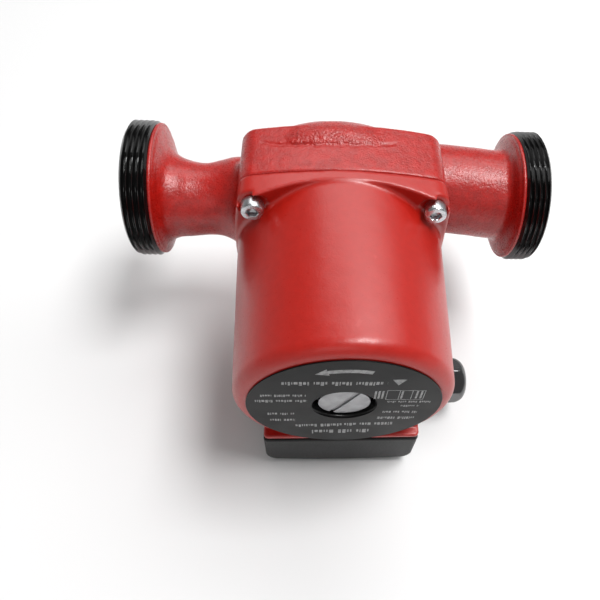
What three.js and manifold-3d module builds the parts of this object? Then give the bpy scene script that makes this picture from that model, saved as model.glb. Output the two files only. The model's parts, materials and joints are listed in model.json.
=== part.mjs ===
// Circulator pump: an in-line wet-rotor heating pump for G 2 unions, 180 mm long.
// Millimetres, +Z up. +X runs along the pipe, the motor points along -Y, and the
// terminal box hangs below it, towards -Z. The origin is where the pipe axis
// crosses the motor axis.
import * as THREE from 'three';
import { mergeVertices } from 'three/addons/utils/BufferGeometryUtils.js';
import Module from 'manifold-3d';

const wasm = await Module();
wasm.setup();

// ---- driving dimensions -------------------------------------------------------

const GAP = 0.3; // between seated neighbours
const FINE = 32; // facets round the large outside shapes
const ROUND = 20; // facets round an inner turned piece
const SMALL_ROUND = 14; // facets round a small one

// Pipe ports
const PORT_X = 90; // half of the port-to-port length
const THREAD_R = 29.7; // G 2 male thread, nominally 59.6 mm
const THREAD_LENGTH = 11;
const THREAD_CHAMFER = 0.6;
const LAND_R = 28.6; // plain ring behind the thread
const LAND_LENGTH = 1.5;
const PORT_BORE_R = 17;

// Pump housing
const JOINT_Y = -29.8; // plane where the motor meets the pump housing
const BLOCK_HALF = 43.6; // half width of the bowed square at the middle of a side
const BLOCK_CORNER_R = 6;
const BLOCK_BACK_Y = -3.6;
const CASING_SWEEP_R = 58; // the volute casing bulges on wide arcs
const CASING_EDGE_R = 20; // and rounds over to the back
const CASING_CREST_Y = -12.2;
const CASING_HALF_Z = 46;
const CASING_HALF_X = 43;
const CASING_OFFSET_X = -3;
const SCREW_HALF = 34.4; // half of the square screw pattern
const CHAMBER_R = 34.5;
const CHAMBER_OFFSET_X = -1.5; // the chamber widens towards the discharge side
const CHAMBER_FLOOR_Y = -13.5;
const SEAL_SEAT_R = 40.2;
const SEAL_SEAT_Y = -23.5;
const SEAL_LAND = 3.6; // width of the gasket's seat
const EYE_R = 14.2;
const NECK_R = 12.6; // the impeller's collar, which turns inside the neck ring
const SUCTION_Y = 6; // the suction channel runs behind the impeller
const SUCTION_R = 14;
const IMPELLER_R = 31;
const IMPELLER_BACK_Y = -24.3;
const IMPELLER_FRONT_Y = -15.2;
const HUB_R = 7.5;
const SHROUD = 2;
const VANES = 6;
const VANE_SWEEP = THREE.MathUtils.degToRad(70);

// Motor
const MOTOR_R = 42.2; // outside, at MOTOR_R_Y
const MOTOR_R_Y = -60;
const MOTOR_DRAFT = 2.26 / 60;
const CAVITY_R = 36.9;
const FRONT_FACE_Y = -104.6;
const FRONT_WALL_Y = -100.4;
const PLATE_R = 35.6;
const PLATE_HOLE_R = 11.9;
const PLATE_FRONT_Y = -105.3;
const SHOULDER_R = 5.2;
const FLANGE_MID_Y = -34.2; // front of the flange at the middle of a side
const FLANGE_ARCH_R = 90; // each side of its front is arched, so the corners stand forward
const FLANGE_TOP_Y = -42;
const SCREW_SEAT_Y = -38.4;
const SCREW_HEAD_R = 4.25;
const SCREW_HEAD_H = 5;
const SCREW_R = 2.5; // M5
const SCREW_TIP_Y = -19;
const BOLT_HOLE_R = SCREW_R + 0.4;

// Rotor and stator
const SHAFT_R = 4;
const SHAFT_REAR_Y = -94;
const SHAFT_TIP_Y = -13.6;
const ROTOR_R = 16.5;
const ROTOR_Y = [-79, -45];
const BEARING_R = 8;
const PUMP_BEARING_Y = [-37.6, -26.2];
const MOTOR_BEARING_Y = [-93, -84.5];
const THRUST_RING_Y = [-42.6, -38.6];
const CAN_R = 18.5;
const CAN_WALL = 0.6;
const CORE_Y = [-76, -46];
const SLOTS = 12;
const SLOT_HALF = 3.1;
const SLOT_R = [20.5, 31.5];
const END_TURN_R = [21, 33];
const END_TURN_Y = [-90, -34];

// Vent plug
const PLUG_HEAD_R = 9.7;
const PLUG_FRONT_Y = -104.3;
const PLUG_HEAD_BACK_Y = -102.2;
const PLUG_TIP_Y = -95.2;
const PLUG_SHANK_R = 6.8;
const PLUG_SLOT_WIDTH = 1.7;
const PLUG_SLOT_TILT = THREE.MathUtils.degToRad(61);

// Terminal box
const BOX_X = 1.7; // middle of the box across the pump
const BOX_HALF_X = 34.3;
const BOX_FRONT_Y = -100;
const BOX_BACK_Y = -44;
const SEAT_Z = -48.8; // the motor's cast seat for the box
const BOX_BOTTOM_Z = -78;
const BOX_CROWN = 2.5; // how much the lid rises from its sides to its middle
const BOX_WALL = 2.2;
const FLOOR_TOP_Z = -50.4;
const FLOOR_Z = -52.4;
const GLAND_Y = -67;
const GLAND_Z = -59.7;
const GLAND_END_X = 63;
const GLAND_FLATS = 19;
const GLAND_THREAD_R = 7.5;
const GLAND_BORE_R = 6.2;
const CABLE_HOLE_R = 4;
const GLAND_NUT_X = 41;
const KNOB_X = -10;
const KNOB_Y = -78;
const KNOB_R = 11;
const LID_SCREW_X = 14;
const LID_SCREW_Y = -71;
const EARTH_X = 21;
const EARTH_Y = -53;
const BASE_SCREWS = [[-24, -92], [-22, -70]];
const TERMINAL_X = [10.5, 17.5, 24.5];
const TERMINAL_Y = -92;
const TERMINAL_FACE_Z = -61.5;
const CAPACITOR_R = 8.5;
const CAPACITOR_X = [-26.5, 6];
const CAPACITOR_Y = -57.6;
const CAPACITOR_Z = -62.2;
const LEAD_Y = -84; // where the winding leads leave the motor
const LEAD_HOLE_R = 5.5;

// ---- materials ----------------------------------------------------------------

const finish = (color, roughness, metalness) =>
  new THREE.MeshStandardMaterial({ color, roughness, metalness });

const redPaint = () => finish(0xb3262a, 0.42, 0.0);
const blackPlastic = () => finish(0x26272a, 0.55, 0.0);
const stainless = () => finish(0xb9bcc0, 0.3, 1.0);
const zincSteel = () => finish(0xc4c6c8, 0.28, 1.0);
const nickel = () => finish(0xb4b5b5, 0.35, 1.0);
const plateInk = () => finish(0x38393b, 0.5, 0.1);
const lamination = () => finish(0x6e7174, 0.5, 0.9);
const copper = () => finish(0xa85a32, 0.45, 0.8);
const ceramic = () => finish(0xe9e5dc, 0.3, 0.0);
const carbon = () => finish(0x2b2b2d, 0.6, 0.1);
const rubber = () => finish(0x1c1c1d, 0.85, 0.0);
const impellerPlastic = () => finish(0xd8d2c2, 0.5, 0.0);
const whitePlastic = () => finish(0xd9d8d2, 0.5, 0.0);
const wireInsulation = () => finish(0x2f4f8f, 0.6, 0.0);
const brass = () => finish(0xb58e45, 0.35, 1.0);

// ---- geometry helpers ----------------------------------------------------------

// A manifold-3d solid of a closed three.js geometry.
function solid(geometry) {
  const bare = geometry.index ? geometry.toNonIndexed() : geometry.clone();
  for (const name of Object.keys(bare.attributes)) {
    if (name !== 'position') bare.deleteAttribute(name);
  }
  const merged = mergeVertices(bare, 1e-4);
  const corners = merged.index.array;
  const triangles = [];
  for (let i = 0; i < corners.length; i += 3) {
    const [a, b, c] = corners.slice(i, i + 3);
    if (a !== b && b !== c && c !== a) triangles.push(a, b, c);
  }
  return new wasm.Manifold(new wasm.Mesh({
    numProp: 3,
    vertProperties: merged.attributes.position.array,
    triVerts: new Uint32Array(triangles),
  }));
}

// A named three.js mesh of a manifold-3d solid.
function piece(name, body, material) {
  const mesh = body.getMesh();
  const geometry = new THREE.BufferGeometry();
  const positions = new THREE.BufferAttribute(new Float32Array(mesh.vertProperties), 3);
  geometry.setAttribute('position', positions);
  geometry.setIndex(new THREE.BufferAttribute(new Uint32Array(mesh.triVerts), 1));
  geometry.computeVertexNormals();
  const node = new THREE.Mesh(geometry, material);
  node.name = name;
  return node;
}

const AXES = {
  x: new THREE.Matrix4().makeBasis(
    new THREE.Vector3(0, 1, 0), new THREE.Vector3(0, 0, 1), new THREE.Vector3(1, 0, 0)),
  y: new THREE.Matrix4().makeBasis(
    new THREE.Vector3(-1, 0, 0), new THREE.Vector3(0, 0, 1), new THREE.Vector3(0, 1, 0)),
  z: new THREE.Matrix4(),
};

// Turns a closed profile of [radius, position along the axis] points about an axis.
function turned(axis, profile, facets = ROUND) {
  const area = profile.reduce((sum, [r, t], i) => {
    const [nextR, nextT] = profile[(i + 1) % profile.length];
    return sum + r * nextT - nextR * t;
  }, 0);
  const outward = area < 0 ? [...profile].reverse() : profile;
  const points = outward.map(([r, t]) => new THREE.Vector2(r, t));
  const endsOnAxis = points[0].x === 0 && points.at(-1).x === 0;
  if (!endsOnAxis) points.push(points[0].clone());
  const geometry = new THREE.LatheGeometry(points, facets);
  if (axis === 'x') geometry.rotateZ(-Math.PI / 2);
  if (axis === 'z') geometry.rotateX(Math.PI / 2);
  return solid(geometry);
}

// A ring or, with no inner radius, a disc about the motor axis.
function ring(innerR, outerR, y0, y1, facets = ROUND) {
  return turned('y', [[innerR, y0], [outerR, y0], [outerR, y1], [innerR, y1]], facets);
}

// A round bar or bore along an axis, from t0 to t1, through the point (u, v) of the other two axes.
function bar(axis, u, v, r, t0, t1, facets = SMALL_ROUND) {
  const body = turned(axis, [[0, t0], [r, t0], [r, t1], [0, t1]], facets);
  if (axis === 'x') return body.translate([0, u, v]);
  if (axis === 'y') return body.translate([u, 0, v]);
  return body.translate([u, v, 0]);
}

// Extrudes a shape along an axis from t0 to t1, with an optional bevel at both ends.
// Along X the shape's own axes are Y and Z, along Y they are -X and Z, along Z they are X and Y.
function extruded(axis, shape, t0, t1, bevel = 0, curveSegments = 4) {
  const geometry = new THREE.ExtrudeGeometry(shape, {
    depth: t1 - t0 - 2 * bevel,
    bevelEnabled: bevel > 0,
    bevelThickness: bevel,
    bevelSize: bevel,
    bevelOffset: -bevel,
    bevelSegments: 2,
    curveSegments,
  });
  geometry.translate(0, 0, t0 + bevel);
  geometry.applyMatrix4(AXES[axis]);
  return solid(geometry);
}

// A box between two opposite corners.
function block([x0, y0, z0], [x1, y1, z1]) {
  const geometry = new THREE.BoxGeometry(x1 - x0, y1 - y0, z1 - z0);
  geometry.translate((x0 + x1) / 2, (y0 + y1) / 2, (z0 + z1) / 2);
  return solid(geometry);
}

// A round pipe along X through stations of [x, centre y, radius], eased between them.
function duct(stations, steps, facets = 20) {
  const eased = new THREE.CatmullRomCurve3(stations.map((s) => new THREE.Vector3(...s)));
  const rings = eased.getPoints(steps);
  const positions = [];
  const index = [];
  for (const { x, y, z: r } of rings) {
    for (let j = 0; j < facets; j += 1) {
      const angle = (2 * Math.PI * j) / facets;
      positions.push(x, y + r * Math.cos(angle), r * Math.sin(angle));
    }
  }
  const first = rings.length * facets;
  const last = first + 1;
  positions.push(rings[0].x, rings[0].y, 0);
  positions.push(rings.at(-1).x, rings.at(-1).y, 0);
  for (let j = 0; j < facets; j += 1) {
    const next = (j + 1) % facets;
    const end = (rings.length - 1) * facets;
    index.push(first, next, j);
    index.push(last, end + j, end + next);
    for (let i = 0; i < rings.length - 1; i += 1) {
      const here = i * facets;
      const there = here + facets;
      index.push(here + j, here + next, there + next);
      index.push(here + j, there + next, there + j);
    }
  }
  const geometry = new THREE.BufferGeometry();
  geometry.setAttribute('position', new THREE.Float32BufferAttribute(positions, 3));
  geometry.setIndex(index);
  return solid(geometry);
}

// Points of a circular arc, with angles in degrees.
function arc(centreX, centreY, r, from, to, steps) {
  return Array.from({ length: steps + 1 }, (_, i) => {
    const angle = THREE.MathUtils.degToRad(from + ((to - from) * i) / steps);
    return [centreX + r * Math.cos(angle), centreY + r * Math.sin(angle)];
  });
}

// A square with bowed sides and round corners about the four screws.
function bowedSquare(inset = 0) {
  const corner = SCREW_HALF;
  const edge = corner + BLOCK_CORNER_R - inset;
  const control = 2 * (BLOCK_HALF - inset) - edge;
  const shape = new THREE.Shape();
  shape.moveTo(edge, -corner);
  shape.quadraticCurveTo(control, 0, edge, corner);
  shape.absarc(corner, corner, BLOCK_CORNER_R - inset, 0, Math.PI / 2);
  shape.quadraticCurveTo(0, control, -corner, edge);
  shape.absarc(-corner, corner, BLOCK_CORNER_R - inset, Math.PI / 2, Math.PI);
  shape.quadraticCurveTo(-control, 0, -edge, -corner);
  shape.absarc(-corner, -corner, BLOCK_CORNER_R - inset, Math.PI, 1.5 * Math.PI);
  shape.quadraticCurveTo(0, -control, corner, -edge);
  shape.absarc(corner, -corner, BLOCK_CORNER_R - inset, 1.5 * Math.PI, 2 * Math.PI);
  return shape;
}

// A rectangle with round corners.
function roundedRectangle(x0, x1, y0, y1, r) {
  const shape = new THREE.Shape();
  shape.moveTo(x0 + r, y0);
  shape.lineTo(x1 - r, y0);
  shape.absarc(x1 - r, y0 + r, r, -Math.PI / 2, 0);
  shape.lineTo(x1, y1 - r);
  shape.absarc(x1 - r, y1 - r, r, 0, Math.PI / 2);
  shape.lineTo(x0 + r, y1);
  shape.absarc(x0 + r, y1 - r, r, Math.PI / 2, Math.PI);
  shape.lineTo(x0, y0 + r);
  shape.absarc(x0 + r, y0 + r, r, Math.PI, 1.5 * Math.PI);
  return shape;
}

// A regular hexagon, given the distance across its flats.
function hexagon(flats) {
  const corner = flats / Math.sqrt(3);
  const points = Array.from({ length: 6 }, (_, i) => {
    const angle = (Math.PI * i) / 3 + Math.PI / 6;
    return new THREE.Vector2(corner * Math.cos(angle), corner * Math.sin(angle));
  });
  return new THREE.Shape(points);
}

// The four corners of the screw pattern as [x, z].
const SCREW_PLACES = [[-1, 1], [1, 1], [1, -1], [-1, -1]]
  .map(([i, k]) => [i * SCREW_HALF, k * SCREW_HALF]);

// ---- pump end -------------------------------------------------------------------

// A port with its thread's outer diameter and its plain land; side is +1 for suction, -1 for discharge.
function port(side) {
  const threadEnd = PORT_X - THREAD_LENGTH;
  const landEnd = threadEnd - LAND_LENGTH;
  const profile = [
    [0, landEnd], [LAND_R, landEnd], [LAND_R, threadEnd], [THREAD_R, threadEnd + THREAD_CHAMFER],
    [THREAD_R, PORT_X - THREAD_CHAMFER], [THREAD_R - THREAD_CHAMFER, PORT_X], [0, PORT_X],
  ];
  const body = turned('x', profile, FINE);
  return side > 0 ? body : body.mirror([1, 0, 0]);
}

// The outside of the suction pipe, which runs behind the impeller.
function suctionPipe() {
  return duct([
    [-22, SUCTION_Y, 10], [-14, SUCTION_Y, 17.5], [4, SUCTION_Y, 19.5], [28, SUCTION_Y - 0.5, 20],
    [50, 3.8, 20.4], [64, 2, 20.5], [72, 0.8, 20.6], [75, 0.3, 21.6], [78, 0, 25],
  ], 14);
}

// The outside of the discharge pipe: a flared neck that leaves from the front of the housing.
function dischargePipe() {
  return duct([
    [-78, 0, 24], [-75, -3.4, 19.6], [-71, -4.5, 17.6], [-65, -5.6, 16.5], [-58, -5.5, 15.9],
    [-50, -4.6, 16.2], [-42, -6, 18], [-34, -11, 16], [-26, -16, 10],
  ], 13);
}

// The water's way in, from the port to the space behind the impeller's eye.
function suctionChannel() {
  return duct([
    [-14, SUCTION_Y, 9], [-8, SUCTION_Y, 13], [6, SUCTION_Y, SUCTION_R], [30, 5, 15],
    [55, 3, 16], [75, 0.5, 16.5], [PORT_X + 1, 0, PORT_BORE_R],
  ], 8, 16);
}

// The water's way out, from the side of the impeller's chamber to the port.
function dischargeChannel() {
  return duct([
    [-PORT_X - 1, 0, PORT_BORE_R], [-80, -0.8, 15.8], [-70, -4.4, 13], [-58, -5.6, 11.6],
    [-46, -8, 10.6], [-34, -15.5, 8.6], [-28, -19, 7],
  ], 8, 16);
}

// The volute casing: bulged on a wide arc on each side, with a rounded back edge.
function voluteCasing() {
  const edgeCentre = CASING_SWEEP_R - CASING_EDGE_R;
  const crest = arc(edgeCentre, CASING_CREST_Y, CASING_EDGE_R, -36, 90, 5);
  const backY = CASING_CREST_Y + CASING_EDGE_R;
  const sweep = turned('y', [[0, -24], ...crest, [0, backY + 1.5]], 40);
  const shiftZ = CASING_SWEEP_R - CASING_HALF_Z;
  const shiftX = CASING_SWEEP_R - CASING_HALF_X;
  return sweep.translate([CASING_OFFSET_X, 0, -shiftZ])
    .intersect(sweep.translate([CASING_OFFSET_X, 0, shiftZ]))
    .intersect(sweep.translate([shiftX, 0, 0]))
    .intersect(sweep.translate([-shiftX, 0, 0]));
}

// The cast housing: block, casing, both pipes and ports, less its machined spaces and channels.
function pumpHousing() {
  const square = extruded('y', bowedSquare(), JOINT_Y - 10, BLOCK_BACK_Y, 3);
  const outside = square
    .add(voluteCasing())
    .add(suctionPipe())
    .add(dischargePipe())
    .add(port(1))
    .add(port(-1));
  const machined = JOINT_Y + GAP / 2;
  const chamber = ring(0, CHAMBER_R, machined - 1, CHAMBER_FLOOR_Y);
  let body = outside
    .subtract(block([-70, JOINT_Y - 20, -70], [70, machined, 70]))
    .subtract(ring(0, SEAL_SEAT_R, machined - 1, SEAL_SEAT_Y))
    .subtract(chamber.translate([CHAMBER_OFFSET_X, 0, 0]))
    .subtract(suctionChannel())
    .subtract(dischargeChannel())
    .subtract(ring(0, EYE_R, CHAMBER_FLOOR_Y - 1, SUCTION_Y - 4));
  for (const [x, z] of SCREW_PLACES) {
    body = body.subtract(bar('y', x, z, BOLT_HOLE_R, machined - 1, -16, 12));
  }
  return piece('pump_housing', body, redPaint());
}

// The steel ring in the eye that the impeller's collar turns in.
function neckRing() {
  const body = ring(NECK_R + 0.4, EYE_R - GAP, CHAMBER_FLOOR_Y + GAP, CHAMBER_FLOOR_Y + 4.3);
  return piece('impeller_neck_ring', body, stainless());
}

function housingGasket() {
  const inner = SEAL_SEAT_R - SEAL_LAND;
  const body = ring(inner, SEAL_SEAT_R - 0.4, SEAL_SEAT_Y - 1.7, SEAL_SEAT_Y - GAP);
  return piece('housing_gasket', body, rubber());
}

// A pressed steel disc whose central cup carries the pump-side bearing.
function bearingPlate() {
  const face = -25.5;
  const profile = [
    [8.3, face], [39.6, face], [39.6, face - 1.2], [16.4, face - 1.2], [15, face - 2.6],
    [9.7, face - 12.5], [8.3, face - 12.5],
  ];
  return piece('bearing_plate', turned('y', profile), stainless());
}

// The impeller: two shrouds, curved vanes, a hub on the shaft and the eye collar.
function impeller() {
  const back = IMPELLER_BACK_Y;
  const front = IMPELLER_FRONT_Y - 1.8;
  let body = ring(SHAFT_R + GAP, IMPELLER_R, back, back + SHROUD)
    .add(ring(SHAFT_R + GAP, HUB_R, back, IMPELLER_FRONT_Y - 0.2, SMALL_ROUND))
    .add(ring(NECK_R - 1.6, IMPELLER_R, front, IMPELLER_FRONT_Y))
    .add(ring(NECK_R - 1.7, NECK_R, front, -9.6));
  for (let i = 0; i < VANES; i += 1) {
    body = body.add(vane(back + SHROUD - 0.2, front + 0.2).rotate([0, (360 * i) / VANES, 0]));
  }
  return piece('impeller', body, impellerPlastic());
}

// One backward-curved vane between the shrouds.
function vane(y0, y1) {
  const steps = 4;
  const thickness = 1.8;
  const inner = NECK_R - 0.8;
  const spiral = Array.from({ length: steps + 1 }, (_, i) => {
    const t = i / steps;
    const r = inner + (IMPELLER_R - 0.6 - inner) * t;
    return new THREE.Vector2(r * Math.cos(VANE_SWEEP * t), r * Math.sin(VANE_SWEEP * t));
  });
  const curve = new THREE.SplineCurve(spiral);
  const sides = [thickness / 2, -thickness / 2].map((offset) => spiral.map((point, i) => {
    const along = curve.getTangentAt(i / steps);
    return new THREE.Vector2(point.x - along.y * offset, point.y + along.x * offset);
  }));
  return extruded('y', new THREE.Shape([...sides[1], ...sides[0].reverse()]), y0, y1);
}

// ---- rotor and its can ----------------------------------------------------------

function shaft() {
  const edge = 0.6;
  const profile = [
    [0, SHAFT_REAR_Y], [SHAFT_R - edge, SHAFT_REAR_Y], [SHAFT_R, SHAFT_REAR_Y + edge],
    [SHAFT_R, SHAFT_TIP_Y - edge], [SHAFT_R - edge, SHAFT_TIP_Y], [0, SHAFT_TIP_Y],
  ];
  return piece('rotor_shaft', turned('y', profile, SMALL_ROUND), ceramic());
}

function rotorCore() {
  return piece('rotor_core', ring(SHAFT_R + GAP, ROTOR_R, ...ROTOR_Y), lamination());
}

// The thin stainless jacket that keeps water out of the rotor.
function rotorJacket() {
  const inner = SHAFT_R + GAP;
  const skin = CAN_WALL;
  const [rear, front] = [ROTOR_Y[0] - GAP, ROTOR_Y[1] + GAP];
  const around = ROTOR_R + GAP;
  const profile = [
    [inner, rear - skin], [around + skin, rear - skin], [around + skin, front + skin],
    [inner, front + skin], [inner, front], [around, front], [around, rear], [inner, rear],
  ];
  return piece('rotor_jacket', turned('y', profile), stainless());
}

function bearing(name, [y0, y1]) {
  return piece(name, ring(SHAFT_R + GAP, BEARING_R, y0, y1), ceramic());
}

function thrustRing() {
  return piece('thrust_bearing', ring(SHAFT_R + GAP, BEARING_R, ...THRUST_RING_Y), carbon());
}

// The can keeps the wet rotor apart from the stator. Its end holds the motor-side bearing and the vent plug.
function rotorCan() {
  const inner = CAN_R - CAN_WALL;
  const seat = BEARING_R + GAP;
  const bore = PLUG_SHANK_R + GAP;
  const profile = [
    [39.6, -27], [inner, -27], [inner, -83], [seat, -83], [seat, -94.5], [bore, -94.5],
    [bore, -100.6], [11.2, -100.6], [11.2, -84], [CAN_R, -84], [CAN_R, -28], [39.6, -28],
  ];
  return piece('rotor_can', turned('y', profile), stainless());
}

// ---- stator and motor housing -----------------------------------------------------

const eachSlot = Array.from({ length: SLOTS }, (_, i) => (360 * i) / SLOTS);

function statorCore() {
  const slot = block([-SLOT_HALF, CORE_Y[0] - 1, SLOT_R[0]], [SLOT_HALF, CORE_Y[1] + 1, SLOT_R[1]]);
  let body = ring(CAN_R + 0.4, CAVITY_R - 0.4, ...CORE_Y, FINE);
  for (const angle of eachSlot) {
    body = body.subtract(slot.rotate([0, angle, 0]));
  }
  return piece('stator_core', body, lamination());
}

// The copper: a bar in each slot, joined by the end turns at both ends of the core.
function statorWinding() {
  const half = SLOT_HALF - 0.4;
  const inSlot = block([-half, CORE_Y[0] - 3, SLOT_R[0] + 0.9], [half, CORE_Y[1] + 3, SLOT_R[1] - 0.6]);
  let body = ring(...END_TURN_R, END_TURN_Y[0], CORE_Y[0] - GAP)
    .add(ring(...END_TURN_R, CORE_Y[1] + GAP, END_TURN_Y[1]));
  for (const angle of eachSlot) {
    body = body.add(inSlot.rotate([0, angle, 0]));
  }
  return piece('stator_winding', body, copper());
}

// Radius of the motor body, which narrows towards its front for the casting draft.
const motorR = (y) => MOTOR_R + MOTOR_DRAFT * (y - MOTOR_R_Y);

// The square flange, arched on all four sides, with its four screw bosses.
function motorFlange(rear) {
  const arch = (axis) => {
    const centre = FLANGE_MID_Y - FLANGE_ARCH_R;
    const body = bar(axis, 0, 0, FLANGE_ARCH_R, -60, 60, 72);
    return body.translate([0, centre, 0]);
  };
  let body = extruded('y', bowedSquare(), FLANGE_TOP_Y, rear)
    .subtract(arch('x'))
    .subtract(arch('z'));
  for (const [x, z] of SCREW_PLACES) {
    body = body.add(bar('y', x, z, BLOCK_CORNER_R - 0.2, SCREW_SEAT_Y, rear));
  }
  return body;
}

// The flat seat under the motor that carries the terminal box.
function boxSeat() {
  const shape = roundedRectangle(
    BOX_X - BOX_HALF_X + GAP, BOX_X + BOX_HALF_X - GAP, BOX_FRONT_Y + GAP, BOX_BACK_Y, 2);
  return extruded('z', shape, SEAT_Z, -18);
}

// The motor's cast shell: a drafted drum with its flange, spigot and box seat, open at the pump end.
function motorHousing() {
  const rear = JOINT_Y - GAP / 2;
  const shoulderStart = FRONT_FACE_Y + SHOULDER_R;
  const shoulder = arc(motorR(shoulderStart) - SHOULDER_R, shoulderStart, SHOULDER_R, 0, -90, 4);
  const shell = turned('y', [[0, rear], [motorR(rear), rear], ...shoulder, [0, FRONT_FACE_Y]], FINE);
  let body = shell
    .add(motorFlange(rear))
    .add(ring(0, 39.4, rear - 1, -28.3, FINE))
    .add(boxSeat())
    .subtract(ring(0, CAVITY_R, FRONT_WALL_Y, rear + 2, FINE))
    .subtract(ring(0, PLATE_HOLE_R + 0.5, FRONT_FACE_Y - 1, FRONT_WALL_Y + 1))
    .subtract(bar('z', 0, LEAD_Y, LEAD_HOLE_R, SEAT_Z - 1, -30));
  for (const [x, z] of SCREW_PLACES) {
    body = body.subtract(bar('y', x, z, SCREW_HEAD_R + 0.9, FLANGE_TOP_Y - 12, SCREW_SEAT_Y));
    body = body.subtract(bar('y', x, z, BOLT_HOLE_R, SCREW_SEAT_Y - 1, rear + 1, 12));
  }
  for (const [x, y] of [...BASE_SCREWS, [EARTH_X, EARTH_Y]]) {
    body = body.subtract(bar('z', x, y, 2.2, SEAT_Z - 1, SEAT_Z + 5, 12));
  }
  return piece('motor_housing', body, redPaint());
}

// An M5 socket cap screw at one corner of the flange.
function flangeScrew(name, x, z) {
  const seat = SCREW_SEAT_Y - GAP;
  const face = seat - SCREW_HEAD_H;
  const profile = [
    [0, SCREW_TIP_Y], [SCREW_R - 0.5, SCREW_TIP_Y], [SCREW_R, SCREW_TIP_Y - 0.5], [SCREW_R, seat],
    [SCREW_HEAD_R, seat], [SCREW_HEAD_R, face + 0.4], [SCREW_HEAD_R - 0.4, face], [0, face],
  ];
  const socket = extruded('y', hexagon(4), face - 1, face + 2.5);
  const body = turned('y', profile, SMALL_ROUND).subtract(socket);
  return piece(name, body.translate([x, 0, z]), zincSteel());
}

function namePlate() {
  const body = ring(PLATE_HOLE_R, PLATE_R, PLATE_FRONT_Y, PLATE_FRONT_Y + 0.4, FINE);
  return piece('nameplate', body, plateInk());
}

// The slotted plug that vents the rotor space and uncovers the end of the shaft.
function ventPlug() {
  const slot = block([-PLUG_HEAD_R - 1, PLUG_FRONT_Y - 1, -PLUG_SLOT_WIDTH / 2],
    [PLUG_HEAD_R + 1, PLUG_FRONT_Y + 1.1, PLUG_SLOT_WIDTH / 2]);
  const tilt = -THREE.MathUtils.radToDeg(PLUG_SLOT_TILT);
  const profile = [
    [0, PLUG_TIP_Y], [PLUG_SHANK_R - 0.6, PLUG_TIP_Y], [PLUG_SHANK_R, PLUG_TIP_Y - 0.6],
    [PLUG_SHANK_R, PLUG_HEAD_BACK_Y], [PLUG_HEAD_R, PLUG_HEAD_BACK_Y],
    [PLUG_HEAD_R, PLUG_FRONT_Y + 0.3], [PLUG_HEAD_R - 0.3, PLUG_FRONT_Y], [0, PLUG_FRONT_Y],
  ];
  const body = turned('y', profile).subtract(slot.rotate([0, tilt, 0]));
  return piece('vent_plug', body, nickel());
}

function ventPlugSeal() {
  const body = ring(PLUG_SHANK_R + GAP, 9.3, PLUG_HEAD_BACK_Y + GAP, -100.9);
  return piece('vent_plug_seal', body, rubber());
}

// The leads from the end turns down into the terminal box.
function windingLeads() {
  const route = new THREE.CatmullRomCurve3([
    new THREE.Vector3(0, LEAD_Y, -34),
    new THREE.Vector3(0, LEAD_Y, -44),
    new THREE.Vector3(0, LEAD_Y, -53.5),
    new THREE.Vector3(1.6, LEAD_Y - 3, -57),
    new THREE.Vector3(5.2, LEAD_Y - 4, -57.2),
  ]);
  const section = new THREE.Shape();
  section.absarc(0, 0, 2.4, 0, 2 * Math.PI);
  const geometry = new THREE.ExtrudeGeometry(section, {
    extrudePath: route,
    steps: 10,
    bevelEnabled: false,
    curveSegments: 4,
  });
  return piece('winding_leads', solid(geometry), wireInsulation());
}

// ---- terminal box -------------------------------------------------------------------

// The lid's cross-section: straight sides, round corners and a slightly crowned face.
function lidSection(inset) {
  const left = BOX_X - BOX_HALF_X + inset;
  const right = BOX_X + BOX_HALF_X - inset;
  const bottom = BOX_BOTTOM_Z + BOX_CROWN + inset;
  const top = SEAT_Z - GAP;
  const r = 5 - inset;
  const shape = new THREE.Shape();
  shape.moveTo(-left, top);
  shape.lineTo(-right, top);
  shape.lineTo(-right, bottom + r);
  shape.quadraticCurveTo(-right, bottom, -right + r, bottom - 0.3);
  shape.quadraticCurveTo(-BOX_X, bottom - 2 * BOX_CROWN + 0.3, -left - r, bottom - 0.3);
  shape.quadraticCurveTo(-left, bottom, -left, bottom + r);
  return shape;
}

// The deep lid, open towards the motor, with holes for the knob and its screw and a notch for the gland.
function boxLid() {
  const outside = extruded('y', lidSection(0), BOX_FRONT_Y, BOX_BACK_Y, 1.5)
    .subtract(block([-60, -120, SEAT_Z - GAP - 1.6], [60, 0, -20]));
  const body = outside
    .subtract(extruded('y', lidSection(BOX_WALL), BOX_FRONT_Y + BOX_WALL, BOX_BACK_Y - BOX_WALL))
    .subtract(bar('z', KNOB_X, KNOB_Y, 5, BOX_BOTTOM_Z - 5, -70))
    .subtract(bar('z', KNOB_X, KNOB_Y, KNOB_R + 1.2, BOX_BOTTOM_Z - 5, BOX_BOTTOM_Z + 1.2, ROUND))
    .subtract(bar('z', LID_SCREW_X, LID_SCREW_Y, 2.4, BOX_BOTTOM_Z - 5, -70, 12))
    .subtract(bar('z', LID_SCREW_X, LID_SCREW_Y, 4.6, BOX_BOTTOM_Z - 5, BOX_BOTTOM_Z + 1.2))
    .subtract(block([BOX_X + 10, -79.3, -69.3], [BOX_X + BOX_HALF_X + 5, -54.7, -20]));
  return piece('terminal_box_lid', body, blackPlastic());
}

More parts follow.
